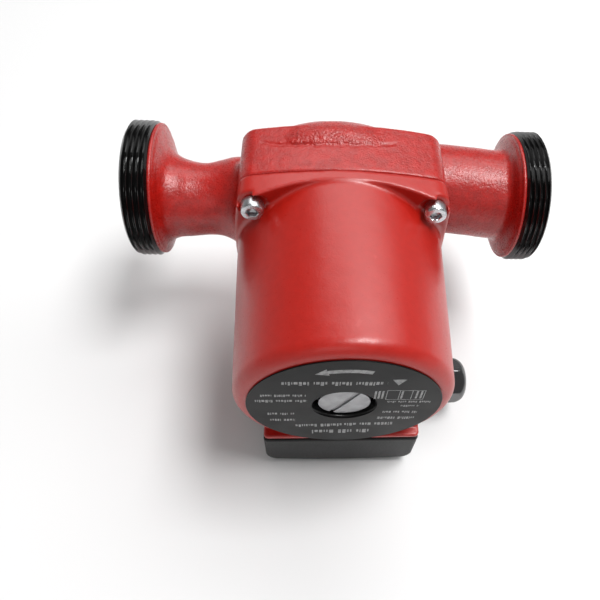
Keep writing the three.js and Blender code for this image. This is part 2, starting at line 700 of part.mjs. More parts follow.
// The base tray with the gland wall and the pillar for the lid's screw.
function boxBase() {
  const clear = BOX_WALL + 0.4;
  const tray = (inset, z0, z1) => {
    const half = BOX_HALF_X - clear - inset;
    const shape = roundedRectangle(
      BOX_X - half, BOX_X + half, BOX_FRONT_Y + clear + inset, BOX_BACK_Y - clear - inset, 3);
    return extruded('z', shape, z0, z1, 0, 3);
  };
  let body = tray(0, -60, FLOOR_TOP_Z)
    .subtract(tray(1.8, -70, FLOOR_Z))
    .add(block([28.6, -79, -69], [BOX_X + BOX_HALF_X, -55, FLOOR_TOP_Z]))
    .add(bar('z', LID_SCREW_X, LID_SCREW_Y, 4, -74.6, FLOOR_Z + 1))
    .subtract(bar('x', GLAND_Y, GLAND_Z, GLAND_THREAD_R + 0.4, 20, 40))
    .subtract(bar('z', LID_SCREW_X, LID_SCREW_Y, 2.2, -80, -62, 12))
    .subtract(bar('z', 0, LEAD_Y, LEAD_HOLE_R, -60, -40));
  for (const [x, y] of [...BASE_SCREWS, [EARTH_X, EARTH_Y]]) {
    body = body.subtract(bar('z', x, y, 2.3, -60, -40, 12));
  }
  return piece('terminal_box_base', body, blackPlastic());
}

// The flat seal between the base and its seat.
function boxGasket() {
  const width = 2.2;
  const slab = (inset, z0, z1) => {
    const half = BOX_HALF_X - 3.9 - inset;
    const shape = roundedRectangle(
      BOX_X - half, BOX_X + half, BOX_FRONT_Y + 2.8 + inset, BOX_BACK_Y - 2.8 - inset, 3);
    return extruded('z', shape, z0, z1, 0, 3);
  };
  const body = slab(0, SEAT_Z - 1.3, SEAT_Z - GAP).subtract(slab(width, SEAT_Z - 3, SEAT_Z + 3));
  return piece('terminal_box_gasket', body, rubber());
}

// An M3.5 pan-head screw pointing up, with its head's underside at headZ.
function panScrew(name, x, y, headZ, length, headR) {
  const shankR = 1.8;
  const head = turned('z', [
    [0, headZ - 2.2], [headR - 0.8, headZ - 2.2], [headR, headZ - 1.2], [headR, headZ],
    [shankR, headZ], [shankR, headZ + length], [0, headZ + length],
  ], 12);
  const cross = block([-headR + 1.4, -0.45, headZ - 3], [headR - 1.4, 0.45, headZ - 1.1]);
  const body = head.subtract(cross).subtract(cross.rotate([0, 0, 90]));
  return piece(name, body.translate([x, y, 0]), zincSteel());
}

// The strip of three terminals, each with a screw well and an opening for its wire.
function terminalBlock() {
  const face = TERMINAL_FACE_Z;
  let body = block([TERMINAL_X[0] - 3.9, -94.6, face], [TERMINAL_X[2] + 3.9, -81.5, FLOOR_Z - GAP]);
  for (const x of TERMINAL_X) {
    body = body
      .subtract(bar('z', x, TERMINAL_Y, 2.2, face - 1.5, face + 3.5, 12))
      .subtract(block([x - 1.8, -84.5, face + 1.3], [x + 1.8, -81, face + 4.9]));
  }
  return piece('terminal_block', body, whitePlastic());
}

function terminalScrew(name, x) {
  const head = TERMINAL_FACE_Z + 1.1;
  const slot = block([-2.5, -0.4, head - 0.2], [2.5, 0.4, head + 0.5]);
  const body = bar('z', 0, 0, 1.8, head, head + 2.1, 12).subtract(slot);
  return piece(name, body.translate([x, TERMINAL_Y, 0]), brass());
}

// The run capacitor of the single-phase winding.
function capacitor() {
  const edge = 0.8;
  const [left, right] = CAPACITOR_X;
  const profile = [
    [0, left], [CAPACITOR_R - edge, left], [CAPACITOR_R, left + edge],
    [CAPACITOR_R, right - edge], [CAPACITOR_R - edge, right], [0, right],
  ];
  const body = turned('x', profile).translate([0, CAPACITOR_Y, CAPACITOR_Z]);
  return piece('run_capacitor', body, whitePlastic());
}

// The rotary switch, with a round well that the knob's square drive turns in.
function speedSwitch() {
  const body = block([KNOB_X - 11, KNOB_Y - 8, -69], [KNOB_X + 11, KNOB_Y + 8, -62.8])
    .add(bar('z', KNOB_X, KNOB_Y, 7, -70.5, -68))
    .subtract(bar('z', KNOB_X, KNOB_Y, 3, -73, -65));
  return piece('speed_switch', body, whitePlastic());
}

// The three-step speed knob: a dial with a raised bar, whose stem reaches into the switch.
function speedKnob() {
  const face = BOX_BOTTOM_Z + 1.2 - GAP;
  const stemR = 4.5;
  const rim = 1.5;
  const dial = turned('z', [
    [0, -71.5], [stemR, -71.5], [stemR, face], [KNOB_R, face],
    [KNOB_R, face - rim + 0.5], [KNOB_R - 0.5, face - rim], [0, face - rim],
  ]);
  const grip = roundedRectangle(-KNOB_R + 1.5, KNOB_R - 1.5, -2.2, 2.2, 1.8);
  const body = dial
    .add(extruded('z', grip, face - 4, face - 1, 0, 3))
    .add(block([-1.8, -1.8, -72], [1.8, 1.8, -66]));
  return piece('speed_knob', body.translate([KNOB_X, KNOB_Y, 0]), blackPlastic());
}

// ---- cable gland ----------------------------------------------------------------------

const onGlandAxis = (body) => body.translate([0, GLAND_Y, GLAND_Z]);

// The threaded body with its hexagon, held in the wall of the base.
function glandBody() {
  const [inner, outer] = [GLAND_BORE_R, GLAND_THREAD_R];
  const sleeve = turned('x', [[inner, 26], [outer, 26], [outer, 36], [outer, 52], [inner, 52]]);
  const collar = extruded('x', hexagon(GLAND_FLATS), BOX_X + BOX_HALF_X + GAP, 39.6)
    .subtract(bar('x', 0, 0, inner, 30, 45));
  return piece('gland_body', onGlandAxis(sleeve.add(collar)), blackPlastic());
}

function glandSeal() {
  const [inner, outer] = [CABLE_HOLE_R, GLAND_BORE_R - GAP];
  const body = turned('x', [[inner, 44], [outer, 44], [outer, 56.6], [inner, 56.6]]);
  return piece('gland_seal', onGlandAxis(body), rubber());
}

function glandClampRing() {
  const inner = CABLE_HOLE_R + 0.2;
  const body = turned('x', [[inner, 56.9], [7.2, 56.9], [7.2, 58.4], [inner, 58.4]]);
  return piece('gland_clamp_ring', onGlandAxis(body), whitePlastic());
}

// The domed hexagon nut that squeezes the seal round the cable.
function glandNut() {
  const start = GLAND_NUT_X;
  const dome = turned('x', [
    [0, start], [12, start], [12, GLAND_END_X - 6.4], [11, GLAND_END_X - 3.9], [9.4, GLAND_END_X - 1.8],
    [7.6, GLAND_END_X - 0.4], [6.6, GLAND_END_X], [0, GLAND_END_X],
  ]);
  const body = extruded('x', hexagon(GLAND_FLATS), start, GLAND_END_X)
    .intersect(dome)
    .subtract(bar('x', 0, 0, GLAND_THREAD_R + 0.4, start - 1, 58.7))
    .subtract(bar('x', 0, 0, CABLE_HOLE_R + 0.6, 50, GLAND_END_X + 1));
  return piece('gland_nut', onGlandAxis(body), blackPlastic());
}

// ---- the whole pump --------------------------------------------------------------------

function fluidEnd() {
  const group = new THREE.Group();
  group.add(pumpHousing(), neckRing(), housingGasket(), bearingPlate(), impeller());
  return group;
}

function rotorGroup() {
  const group = new THREE.Group();
  group.add(shaft(), rotorCore(), rotorJacket(), thrustRing(), rotorCan());
  group.add(bearing('pump_side_bearing', PUMP_BEARING_Y));
  group.add(bearing('motor_side_bearing', MOTOR_BEARING_Y));
  return group;
}

function motorGroup() {
  const group = new THREE.Group();
  group.add(motorHousing(), statorCore(), statorWinding(), windingLeads(), namePlate());
  group.add(ventPlug(), ventPlugSeal());
  const corners = ['top_left', 'top_right', 'bottom_right', 'bottom_left'];
  SCREW_PLACES.forEach(([x, z], i) => group.add(flangeScrew(`flange_screw_${corners[i]}`, x, z)));
  return group;
}

function terminalGroup() {
  const group = new THREE.Group();
  const floor = FLOOR_Z - GAP;
  group.add(boxBase(), boxLid(), boxGasket(), terminalBlock(), capacitor());
  group.add(speedSwitch(), speedKnob());
  ['left', 'middle', 'right'].forEach((side, i) => {
    group.add(terminalScrew(`terminal_screw_${side}`, TERMINAL_X[i]));
  });
  BASE_SCREWS.forEach(([x, y], i) => {
    group.add(panScrew(`base_screw_${i + 1}`, x, y, floor, 7, 3.4));
  });
  group.add(panScrew('earth_screw', EARTH_X, EARTH_Y, floor, 7, 3.4));
  group.add(panScrew('lid_screw', LID_SCREW_X, LID_SCREW_Y, BOX_BOTTOM_Z + 1.2 - GAP, 13, 3.8));
  return group;
}

function glandGroup() {
  const group = new THREE.Group();
  group.add(glandBody(), glandSeal(), glandClampRing(), glandNut());
  return group;
}

const pump = new THREE.Group();
pump.add(fluidEnd(), rotorGroup(), motorGroup(), terminalGroup(), glandGroup());

export default pump;
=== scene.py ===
"""Circulator pump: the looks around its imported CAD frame. +X runs along the pipe from the
discharge port to the suction port, the motor points towards -Y and the terminal box towards
-Z. Shapes are worked out in millimetres and become metres when they are made into meshes."""

import json
import math

import bmesh
import bpy
import numpy as np
from mathutils import Matrix, Vector


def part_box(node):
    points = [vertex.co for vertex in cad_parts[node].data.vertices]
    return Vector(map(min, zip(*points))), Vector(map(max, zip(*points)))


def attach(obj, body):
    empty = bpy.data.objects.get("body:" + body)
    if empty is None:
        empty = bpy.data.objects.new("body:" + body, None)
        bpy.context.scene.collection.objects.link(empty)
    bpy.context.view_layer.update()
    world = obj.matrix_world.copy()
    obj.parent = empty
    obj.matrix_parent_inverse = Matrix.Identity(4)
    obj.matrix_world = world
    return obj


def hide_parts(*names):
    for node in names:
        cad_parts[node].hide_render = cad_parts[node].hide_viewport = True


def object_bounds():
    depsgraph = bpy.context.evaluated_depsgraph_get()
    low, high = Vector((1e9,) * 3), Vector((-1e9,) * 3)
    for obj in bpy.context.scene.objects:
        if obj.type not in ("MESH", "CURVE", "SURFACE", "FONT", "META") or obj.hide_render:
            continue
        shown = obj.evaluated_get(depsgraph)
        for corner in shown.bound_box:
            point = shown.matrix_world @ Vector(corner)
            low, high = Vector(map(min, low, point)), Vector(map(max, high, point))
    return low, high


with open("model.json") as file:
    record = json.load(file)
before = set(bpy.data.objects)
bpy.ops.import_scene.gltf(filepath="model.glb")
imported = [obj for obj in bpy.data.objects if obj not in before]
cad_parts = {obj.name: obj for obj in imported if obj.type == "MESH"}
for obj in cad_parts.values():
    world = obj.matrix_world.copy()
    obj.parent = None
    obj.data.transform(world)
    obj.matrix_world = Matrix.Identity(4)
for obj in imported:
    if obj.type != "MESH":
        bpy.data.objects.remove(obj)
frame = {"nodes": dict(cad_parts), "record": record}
CAD_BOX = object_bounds()

MM = 0.001

# ---- sizes, in millimetres ---------------------------------------------------------


def corners(node_name):
    """The lowest and highest corner of a CAD node, in millimetres."""
    low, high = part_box(node_name)
    return np.array(low) / MM, np.array(high) / MM


HOUSING_LOW, HOUSING_HIGH = corners("pump_housing")
MOTOR_LOW, MOTOR_HIGH = corners("motor_housing")
LID_LOW, LID_HIGH = corners("terminal_box_lid")
PLATE_LOW, PLATE_HIGH = corners("nameplate")
PLUG_LOW, PLUG_HIGH = corners("vent_plug")
KNOB_LOW, KNOB_HIGH = corners("speed_knob")
NUT_LOW, NUT_HIGH = corners("gland_nut")

PORT_X = HOUSING_HIGH[0]
THREAD_R = 29.7
THREAD_LENGTH = 11.0
THREAD_PITCH = 25.4 / 11
THREAD_DEPTH = 1.48
BORE_R = 17.0
LIP_R = 28.6
LIP_X = 79.0  # the lip's face, at the thread's start
NECK_END_X = 78.0
PAST_PORT_X = 92.0  # outside the housing, where cuts through a port may end
BLOCK_BACK_Y = -3.6
BLOCK_CORNER = 4.5
JOINT_Y = HOUSING_LOW[1]  # where the pump housing ends and the motor begins
SCREW_HALF = 34.4  # half of the flange screws' spacing, along X and along Z
SCREW_HOLE_R = 2.9
FRONT_Y = MOTOR_LOW[1]
PLATE_R = PLATE_HIGH[0]
PLATE_HOLE_R = 11.9
PRINT = 0.05  # how far the printed marks stand proud of the film
BOX_X = (LID_LOW[0] + LID_HIGH[0]) / 2
KNOB_X, KNOB_Y = -10.0, -78.0
LID_SCREW_X, LID_SCREW_Y = 14.0, -71.0
GLAND_Y = (NUT_LOW[1] + NUT_HIGH[1]) / 2
GLAND_Z = (NUT_LOW[2] + NUT_HIGH[2]) / 2

# The pipes, as rows of (x, the middle's y, radius): outsides first, then their channels.
SUCTION = [
    (-22, 6, 10), (-14, 6, 17.5), (4, 6, 19.5), (28, 5.5, 20), (50, 3.8, 20.4),
    (64, 2, 20.5), (72, 0.8, 20.6), (75, 0.4, 20.8), (78, 0, 22),
]
DISCHARGE = [
    (-78, 0, 24), (-75, -3.2, 20.4), (-71, -4.4, 18.1), (-65, -5.6, 16.6), (-59, -5.7, 15.9),
    (-52, -4.9, 16.8), (-46, -5.4, 18.7), (-40, -7.6, 19.4), (-34, -11, 17), (-26, -16, 10),
]
SUCTION_CHANNEL = [
    (-14, 6, 9), (-8, 6, 13), (6, 6, 14), (30, 5, 15), (55, 3, 16), (75, 0.5, 16.5),
    (91, 0, 17),
]
DISCHARGE_CHANNEL = [
    (-91, 0, 17), (-80, -0.8, 15.8), (-70, -4.4, 13), (-58, -5.6, 11.6), (-46, -8, 10.6),
    (-34, -15.5, 8.6), (-28, -19, 7),
]

# ---- signed distances: negative inside, positive outside ----------------------------


def smooth_min(a, b, k):
    """Joins two solids with a fillet about k across."""
    h = np.maximum(k - np.abs(a - b), 0) / k
    return np.minimum(a, b) - h * h * k / 4


def smooth_max(a, b, k):
    """What is inside both a and b, with their shared edge eased about k across."""
    return -smooth_min(-a, -b, k)


def rounded(a, b, r):
    """What is inside both a and b, with their shared edge rounded to radius r."""
    a, b = a + r, b + r
    inside = np.minimum(np.maximum(a, b), 0)
    return inside + np.hypot(np.maximum(a, 0), np.maximum(b, 0)) - r


def slab(t, low, high):
    """What lies between two levels of t."""
    return np.abs(t - (low + high) / 2) - (high - low) / 2


def carved(body, spaces, ease=0):
    """A body with spaces cut out of it, their edges eased about ease across."""
    for space in spaces:
        body = smooth_max(body, -space, ease) if ease else np.maximum(body, -space)
    return body


def eased(x, stations):
    """A smooth curve through (x, value, value) stations, one result for each value."""
    table = np.array(stations, float)
    knots = table[:, 0]
    slopes = np.gradient(table[:, 1:], knots, axis=0)
    x = np.clip(x, knots[0], knots[-1])
    i = np.clip(np.searchsorted(knots, x) - 1, 0, len(knots) - 2)
    width = knots[i + 1] - knots[i]
    t = (x - knots[i]) / width
    out = []
    for column in range(table.shape[1] - 1):
        p0, p1 = table[i, column + 1], table[i + 1, column + 1]
        m0, m1 = slopes[i, column] * width, slopes[i + 1, column] * width
        out.append(
            (2 * t**3 - 3 * t**2 + 1) * p0
            + (t**3 - 2 * t**2 + t) * m0
            + (3 * t**2 - 2 * t**3) * p1
            + (t**3 - t**2) * m1
        )
    return out


def pipe(x, y, z, stations):
    """A bent round pipe along X, through a table of stations."""
    middle_y, radius = eased(x, stations)
    return np.hypot(y - middle_y, z) - radius


def bowed_square(x, z, corner):
    """The flange outline: four wide arcs, 43.6 mm from the middle, with round corners."""
    arc_r, arc_centre = 186.5, 142.9
    side_x = np.hypot(np.abs(x) + arc_centre, z) - arc_r
    side_z = np.hypot(np.abs(z) + arc_centre, x) - arc_r
    return rounded(side_x, side_z, corner)


def at_screws(x, y, z, r, low, high):
    """Four cylinders between two levels of y, on the flange screws' axes."""
    across = np.hypot(np.abs(x) - SCREW_HALF, np.abs(z) - SCREW_HALF) - r
    return np.maximum(across, slab(y, low, high))


def casing(x, y, z):
    """The volute casing: bulged on wide arcs, round at its back edge, with a sloping front at
    the top. It is kept smaller by an allowance, so that its rough skin stays in the CAD box."""
    sweep_r, edge_r, crest_y = 58.0, 20.0, -12.2
    tall_x, tall_z, wide_x = -3, 12, 15
    slope_y, slope_z, rise, slant = -15.6, 43.8, 0.5, 1.12
    allowance = 0.35

    def bulge(cx, cz):
        """A round cushion about (cx, cz)."""
        rho = np.hypot(x - cx, z - cz)
        return np.hypot(np.maximum(rho - sweep_r + edge_r, 0), y - crest_y) - edge_r

    tall = smooth_max(bulge(tall_x, tall_z), bulge(tall_x, -tall_z), 2)
    wide = smooth_max(bulge(wide_x, 0), bulge(-wide_x, 0), 2)
    slope = (z - slope_z - rise * (y - slope_y)) / slant
    return smooth_max(smooth_max(tall, wide, 3), slope, 1.5) + allowance


def crease(x, y, z, outline):
    """The soft, wandering furrow where the casing rises out of the top of the block. It is
    deepest in the middle, runs out at both ends, and follows the block's outline."""
    middle_x, half_length, line_y, curl = -5.5, 26.5, -16.0, 3.0
    depth, squeeze, far = 0.36, 0.7, 9.0
    along = (x - middle_x) / half_length
    reach = np.clip(1 - along**2, 0, 1)
    wander = 0.2 * np.sin(x * 0.83 + 1) + 0.14 * np.sin(x * 1.37)
    line = line_y + curl * along**4 + wander
    furrow = np.hypot((y - line) * squeeze, outline) - depth * np.sqrt(reach)
    return np.where((z > 0) & (reach > 0), furrow, far)


def port_cones(x, rho):
    """The steep cone behind each port thread."""
    from_r, from_x, rise, slant = 27.2, 76.9, 3.2, 3.35
    start_x, face_x, edge_r = 71, 78.8, 28.0
    back = (rho - from_r - (np.abs(x) - from_x) * rise) / slant
    disc = rounded(rho - edge_r, np.abs(x) - face_x, 0.4)
    return smooth_max(disc, np.maximum(back, start_x - np.abs(x)), 2.4)


def port_lips(x, rho):
    """The thin lip that stands between each cone and its thread."""
    thickness = 1.5
    return rounded(rho - LIP_R, slab(np.abs(x), LIP_X - thickness, LIP_X), 0.4)


def housing_spaces(x, y, z):
    """What is machined or cored out of the pump housing."""
    seat_r, seat_y = 40.2, -23.5
    chamber_x, chamber_r, chamber_y = -1.5, 34.5, -13.5
    eye_r, eye_y = 14.2, 2
    screw_y = -16
    open_y = JOINT_Y - 1
    suction = slab(x, SUCTION_CHANNEL[0][0], PAST_PORT_X)
    discharge = slab(x, -PAST_PORT_X, DISCHARGE_CHANNEL[-1][0])
    return (
        np.maximum(np.hypot(x, z) - seat_r, slab(y, open_y, seat_y)),
        np.maximum(np.hypot(x - chamber_x, z) - chamber_r, slab(y, open_y, chamber_y)),
        np.maximum(np.hypot(x, z) - eye_r, slab(y, chamber_y - 1, eye_y)),
        np.maximum(pipe(x, y, z, SUCTION_CHANNEL), suction),
        np.maximum(pipe(x, y, z, DISCHARGE_CHANNEL), discharge),
        at_screws(x, y, z, SCREW_HOLE_R, open_y, screw_y),
    )


def housing(x, y, z):
    """The cast pump housing, with its machined spaces and its two water channels."""
    outline = bowed_square(x, z, BLOCK_CORNER)
    block = rounded(outline, y - BLOCK_BACK_Y, 2.2)
    body = smooth_min(block, casing(x, y, z), 0.7)
    body = smooth_max(body, -crease(x, y, z, outline), 0.9)
    suction = smooth_max(pipe(x, y, z, SUCTION), SUCTION[0][0] - x, 8)
    suction = np.maximum(suction, x - NECK_END_X)
    discharge = pipe(x, y, z, DISCHARGE)
    discharge = np.maximum(discharge, slab(x, -NECK_END_X, DISCHARGE[-1][0]))
    body = smooth_min(body, suction, 4)
    body = smooth_min(body, discharge, 5)
    rho = np.hypot(y, z)
    body = smooth_min(body, port_cones(x, rho), 2.2)
    body = smooth_min(body, port_lips(x, rho), 0.4)
    body = rounded(body, JOINT_Y - y, 0.7)
    return carved(body, housing_spaces(x, y, z))


def drum_and_flange(x, y, z):
    """The drafted drum, and the flange with an arched front and a boss under each screw."""
    draft_r, draft_y, draft = 42.2, -60, 2.26 / 60
    arch_r, arch_y, flange_front_y = 90.0, -124.2, -42
    boss_r, boss_front_y = 5.8, -38.4
    pocket_r, pocket_front_y = 5.15, -54
    drum_r = draft_r + draft * (y - draft_y)
    drum = rounded(np.hypot(x, z) - drum_r, FRONT_Y - y, 5.2)
    arches = np.maximum(arch_r - np.hypot(y - arch_y, x), arch_r - np.hypot(y - arch_y, z))
    arches = np.maximum(arches, flange_front_y - y)
    flange = rounded(bowed_square(x, z, 6.0), arches, 0.8)
    boss = np.hypot(np.abs(x) - SCREW_HALF, np.abs(z) - SCREW_HALF) - boss_r
    flange = smooth_min(flange, rounded(boss, boss_front_y - y, 0.4), 0.8)
    pockets = at_screws(x, y, z, pocket_r, pocket_front_y, boss_front_y)
    return smooth_max(smooth_min(drum, flange, 2.0), -pockets, 1.5)


def with_box_seat(body, x, y, z):
    """The motor with the terminal box's seat. The seat's front stands back, above a low lip."""
    half_width, bottom_z, top_z = 34, -49.0, -18
    front_y, back_y = -99.7, -44
    step_back_y, lip_top_z, step_top_z = -95.2, -46.6, -30
    clear_of_drum_r = 41.6
    seat = slab(x, BOX_X - half_width, BOX_X + half_width)
    seat = rounded(seat, slab(y, front_y, back_y), 2)
    seat = rounded(seat, slab(z, bottom_z, top_z), 0.5)
    step = np.maximum(slab(y, -101, step_back_y), slab(z, lip_top_z, step_top_z))
    step = np.maximum(step, clear_of_drum_r - np.hypot(x, z))
    return smooth_max(smooth_min(body, seat, 1.6), -step, 0.8)


def motor_spaces(x, y, z):
    """The stator's cavity, the window behind the plate, the leads' hole and screw holes."""
    rho = np.hypot(x, z)
    rear = MOTOR_HIGH[1]
    cavity_r, cavity_y = 36.9, -100.4
    window_r, window_y = 12.4, -99
    leads_y, leads_r, leads_top_z = -84, 5.5, -30
    tapped_r, tapped_top_z = 2.2, -43.8
    below_seat_z = -50
    spaces = [
        np.maximum(rho - cavity_r, slab(y, cavity_y, rear + 2)),
        np.maximum(rho - window_r, slab(y, FRONT_Y - 1, window_y)),
        np.maximum(np.hypot(x, y - leads_y) - leads_r, slab(z, below_seat_z, leads_top_z)),
        at_screws(x, y, z, SCREW_HOLE_R, -40, rear + 1),
    ]
    for hole_x, hole_y in ((-24, -92), (-22, -70), (21, -53)):
        tapped = np.hypot(x - hole_x, y - hole_y) - tapped_r
        spaces.append(np.maximum(tapped, slab(z, below_seat_z, tapped_top_z)))
    return spaces


def motor(x, y, z):
    """The cast motor shell, with the spigot that centres it in the pump housing."""
    spigot_r = 39.4
    seam = JOINT_Y - 0.3
    body = rounded(drum_and_flange(x, y, z), y - seam, 0.6)
    spigot = np.maximum(np.hypot(x, z) - spigot_r, slab(y, seam - 1, MOTOR_HIGH[1]))
    body = with_box_seat(np.minimum(body, spigot), x, y, z)
    return carved(body, motor_spaces(x, y, z))


def lid_outline(x, z, inset):
    """The lid seen from the front: straight sides and a slightly crowned bottom."""
    half_width, bottom_z, crown_height = 34.3, -75.5, 2.5
    crown = crown_height * (1 - ((x - BOX_X) / half_width) ** 2)
    side = np.abs(x - BOX_X) - half_width + inset
    return rounded(side, bottom_z - crown - z + inset, 5.5 - inset)


def lid(x, y, z):
    """The deep lid of the terminal box, with the knob's recess and the gland's notch."""
    wall, front_y, back_y = 2.2, -100, -44
    well_z, through_z = -76.8, -70
    stem_hole_r, recess_r, screw_hole_r, sink_r = 5, 12.2, 2.4, 4.6
    notch_front_y, notch_back_y, notch_z = -79.3, -54.7, -69.3
    outside = rounded(lid_outline(x, z, 0), slab(y, front_y, back_y), 2.0)
    outside = rounded(outside, z - LID_HIGH[2], 0.5)
    inside = slab(y, front_y + wall, back_y - wall)
    inside = rounded(lid_outline(x, z, wall), inside, 1.2)
    body = smooth_max(outside, -inside, 0.5)
    from_knob = np.hypot(x - KNOB_X, y - KNOB_Y)
    from_screw = np.hypot(x - LID_SCREW_X, y - LID_SCREW_Y)
    stem_hole = np.maximum(from_knob - stem_hole_r, z - through_z)
    screw_hole = np.maximum(from_screw - screw_hole_r, z - through_z)
    notch = rounded(slab(y, notch_front_y, notch_back_y), slab(x, 11.7, 41), 0.6)
    notch = rounded(notch, notch_z - z, 0.6)
    body = carved(body, (stem_hole, screw_hole, notch))
    recess = rounded(from_knob - recess_r, z - well_z, 0.4)
    sink = rounded(from_screw - sink_r, z - well_z, 0.3)
    return carved(body, (recess, sink), ease=0.4)


def plug(x, y, z):
    """The slotted vent plug: a domed head with a worn slot, on its threaded shank."""
    head_r, head_back_y, dome_height = 9.7, -102.2, 0.25
    shank_r, pitch, ridge_height = 6.6, 1.5, 0.16
    slot_half, slot_depth, slot_reach = 0.85, 1.1, 12
    tilt = math.radians(61)
    rho = np.hypot(x, z)
    dome = PLUG_LOW[1] + dome_height * (rho / head_r) ** 2
    head = rounded(rho - head_r, np.maximum(dome - y, y - head_back_y), 0.35)
    ridge = ridge_height * np.cos(2 * np.pi * y / pitch + np.arctan2(z, x))
    shank = rounded(rho - shank_r - ridge, slab(y, -103, PLUG_HIGH[1]), 0.4)
    along = x * math.cos(tilt) + z * math.sin(tilt)
    across = -x * math.sin(tilt) + z * math.cos(tilt)
    slot = rounded(np.abs(across) - slot_half, y - PLUG_LOW[1] - slot_depth, 0.15)
    slot = np.maximum(slot, np.abs(along) - slot_reach)
    return smooth_max(np.minimum(head, shank), -slot, 0.22)


def hexagon(u, v, flats):
    """A regular hexagon with two flats square to v."""
    half = flats / 2
    third = math.radians(60)
    d = np.abs(v) - half
    for angle in (third, -third):
        d = np.maximum(d, np.abs(v * math.cos(angle) + u * math.sin(angle)) - half)
    return d


def nut(x, y, z):
    """The domed hexagon nut of the cable gland, bored for the cable and for the gland's body."""
    across_flats, chamfer_r = 19, 10.4
    dome_r, dome_flat_r, dome_length = 7.4, 4.3, 8
    bore_r, bore_end_x, mouth_r = 7.9, 58.7, 4.6
    start, end = NUT_LOW[0], NUT_HIGH[0]
    u, v = y - GLAND_Y, z - GLAND_Z
    rho = np.hypot(u, v)
    flats = rounded(hexagon(v, u, across_flats), slab(x, start, end), 0.5)
    swell = np.maximum(x - end + dome_length, 0) * 0.9
    dome = np.hypot(np.maximum(rho - dome_flat_r, 0), swell) - dome_r
    dome = np.maximum(dome, x - end + 0.02)
    chamfer = rho - chamfer_r - (x - start)
    body = smooth_max(smooth_max(flats, dome, 0.7), chamfer, 0.4)
    bore = np.maximum(rho - bore_r, slab(x, start - 1, bore_end_x))
    mouth = np.maximum(rho - mouth_r, slab(x, 50, end + 1))
    return smooth_max(np.maximum(body, -bore), -mouth, 0.6)


def knob(x, y, z):
    """The three-step speed knob: a rippled dial, a finger bar with a pointer cut in it, a
    stem and a square drive."""
    dial_r, dial_z, dial_thickness = 10.8, -77.1, 1.5
    ripple_height, ripple_count = 0.18, 36
    bar_half_width, bar_half_length = 2.2, 9.5
    stem_r, stem_top_z, drive_half = 4.5, -71.5, 1.8
    u, v = x - KNOB_X, y - KNOB_Y
    rho = np.hypot(u, v)
    ripple = ripple_height * np.cos(ripple_count * np.arctan2(v, u))
    dial = rounded(rho - dial_r - ripple, slab(z, dial_z - dial_thickness, dial_z), 0.35)
    bar = rounded(np.abs(v) - bar_half_width, np.abs(u) - bar_half_length, 1.8)
    bar = rounded(bar, slab(z, KNOB_LOW[2], dial_z - 1), 0.7)
    pointer = rounded(np.abs(v) - 0.45, slab(u, 4.0, 8.4), 0.2)
    pointer = np.maximum(pointer, z - KNOB_LOW[2] - 0.3)
    stem = rounded(rho - stem_r, slab(z, dial_z, stem_top_z), 0.2)
    drive = rounded(np.abs(u) - drive_half, np.abs(v) - drive_half, 0.2)
    drive = np.maximum(drive, slab(z, -72, KNOB_HIGH[2]))
    body = smooth_min(dial, bar, 0.9)
    body = smooth_max(body, -pointer, 0.15)
    return np.minimum(np.minimum(body, stem), drive)


# ---- meshes -------------------------------------------------------------------------


def gradient(sdf, p, reach=0.02):
    """The outward direction of a signed distance at points p, not normalised."""
    g = np.empty_like(p)
    for axis in range(3):
        step = np.zeros(3)
        step[axis] = reach
        ahead, behind = p + step, p - step
        g[:, axis] = (sdf(*ahead.T) - sdf(*behind.T)) / (2 * reach)
    return g


def new_object(name, data):
    """A mesh, a lamp or a camera, linked into the scene as an object."""
    piece = bpy.data.objects.new(name, data)
    bpy.context.scene.collection.objects.link(piece)
    return piece


def from_quads(name, points, quads):
    """A smooth-shaded object from points in millimetres and four-cornered faces."""
    mesh = bpy.data.meshes.new(name)
    mesh.vertices.add(len(points))
    mesh.vertices.foreach_set("co", (points * MM).astype(np.float32).ravel())
    mesh.loops.add(quads.size)
    mesh.loops.foreach_set("vertex_index", quads.astype(np.int32).ravel())
    mesh.polygons.add(len(quads))
    mesh.polygons.foreach_set("loop_start", np.arange(len(quads), dtype=np.int32) * 4)
    mesh.update(calc_edges=True)
    mesh.validate()
    mesh.shade_smooth()
    return new_object(name, mesh)


def from_bmesh(name, mesh, sharp_angle):
    """A smooth-shaded object from a bmesh, kept sharp at edges over sharp_angle degrees."""
    data = bpy.data.meshes.new(name)
    mesh.to_mesh(data)
    mesh.free()
    data.shade_smooth()
    data.set_sharp_from_angle(angle=math.radians(sharp_angle))
    return new_object(name, data)


def window(start, size):
    """The slices that take a block of a size out of a grid, from a start."""
    return tuple(slice(s, s + m) for s, m in zip(start, size))


def crossing_points(value, active, size):
    """For each active cell, the mean of the points where its edges cross the surface, in cells
    from the cell's own corner."""
    total = np.zeros((*size, 3))
    crossed = np.zeros(size, np.int8)
    for axis in range(3):
        others = [a for a in range(3) if a != axis]
        for shift in np.ndindex(2, 2):
            start = [0, 0, 0]
            start[others[0]], start[others[1]] = shift
            end = list(start)
            end[axis] = 1
            a = value[window(start, size)]
            b = value[window(end, size)]
            cut = ((a < 0) != (b < 0)) & active
            t = np.where(cut, a / np.where(cut, a - b, 1), 0)
            for k in range(3):
                total[..., k] += np.where(cut, start[k] + (t if k == axis else 0), 0)
            crossed += cut
    return total[active] / crossed[active][:, None]


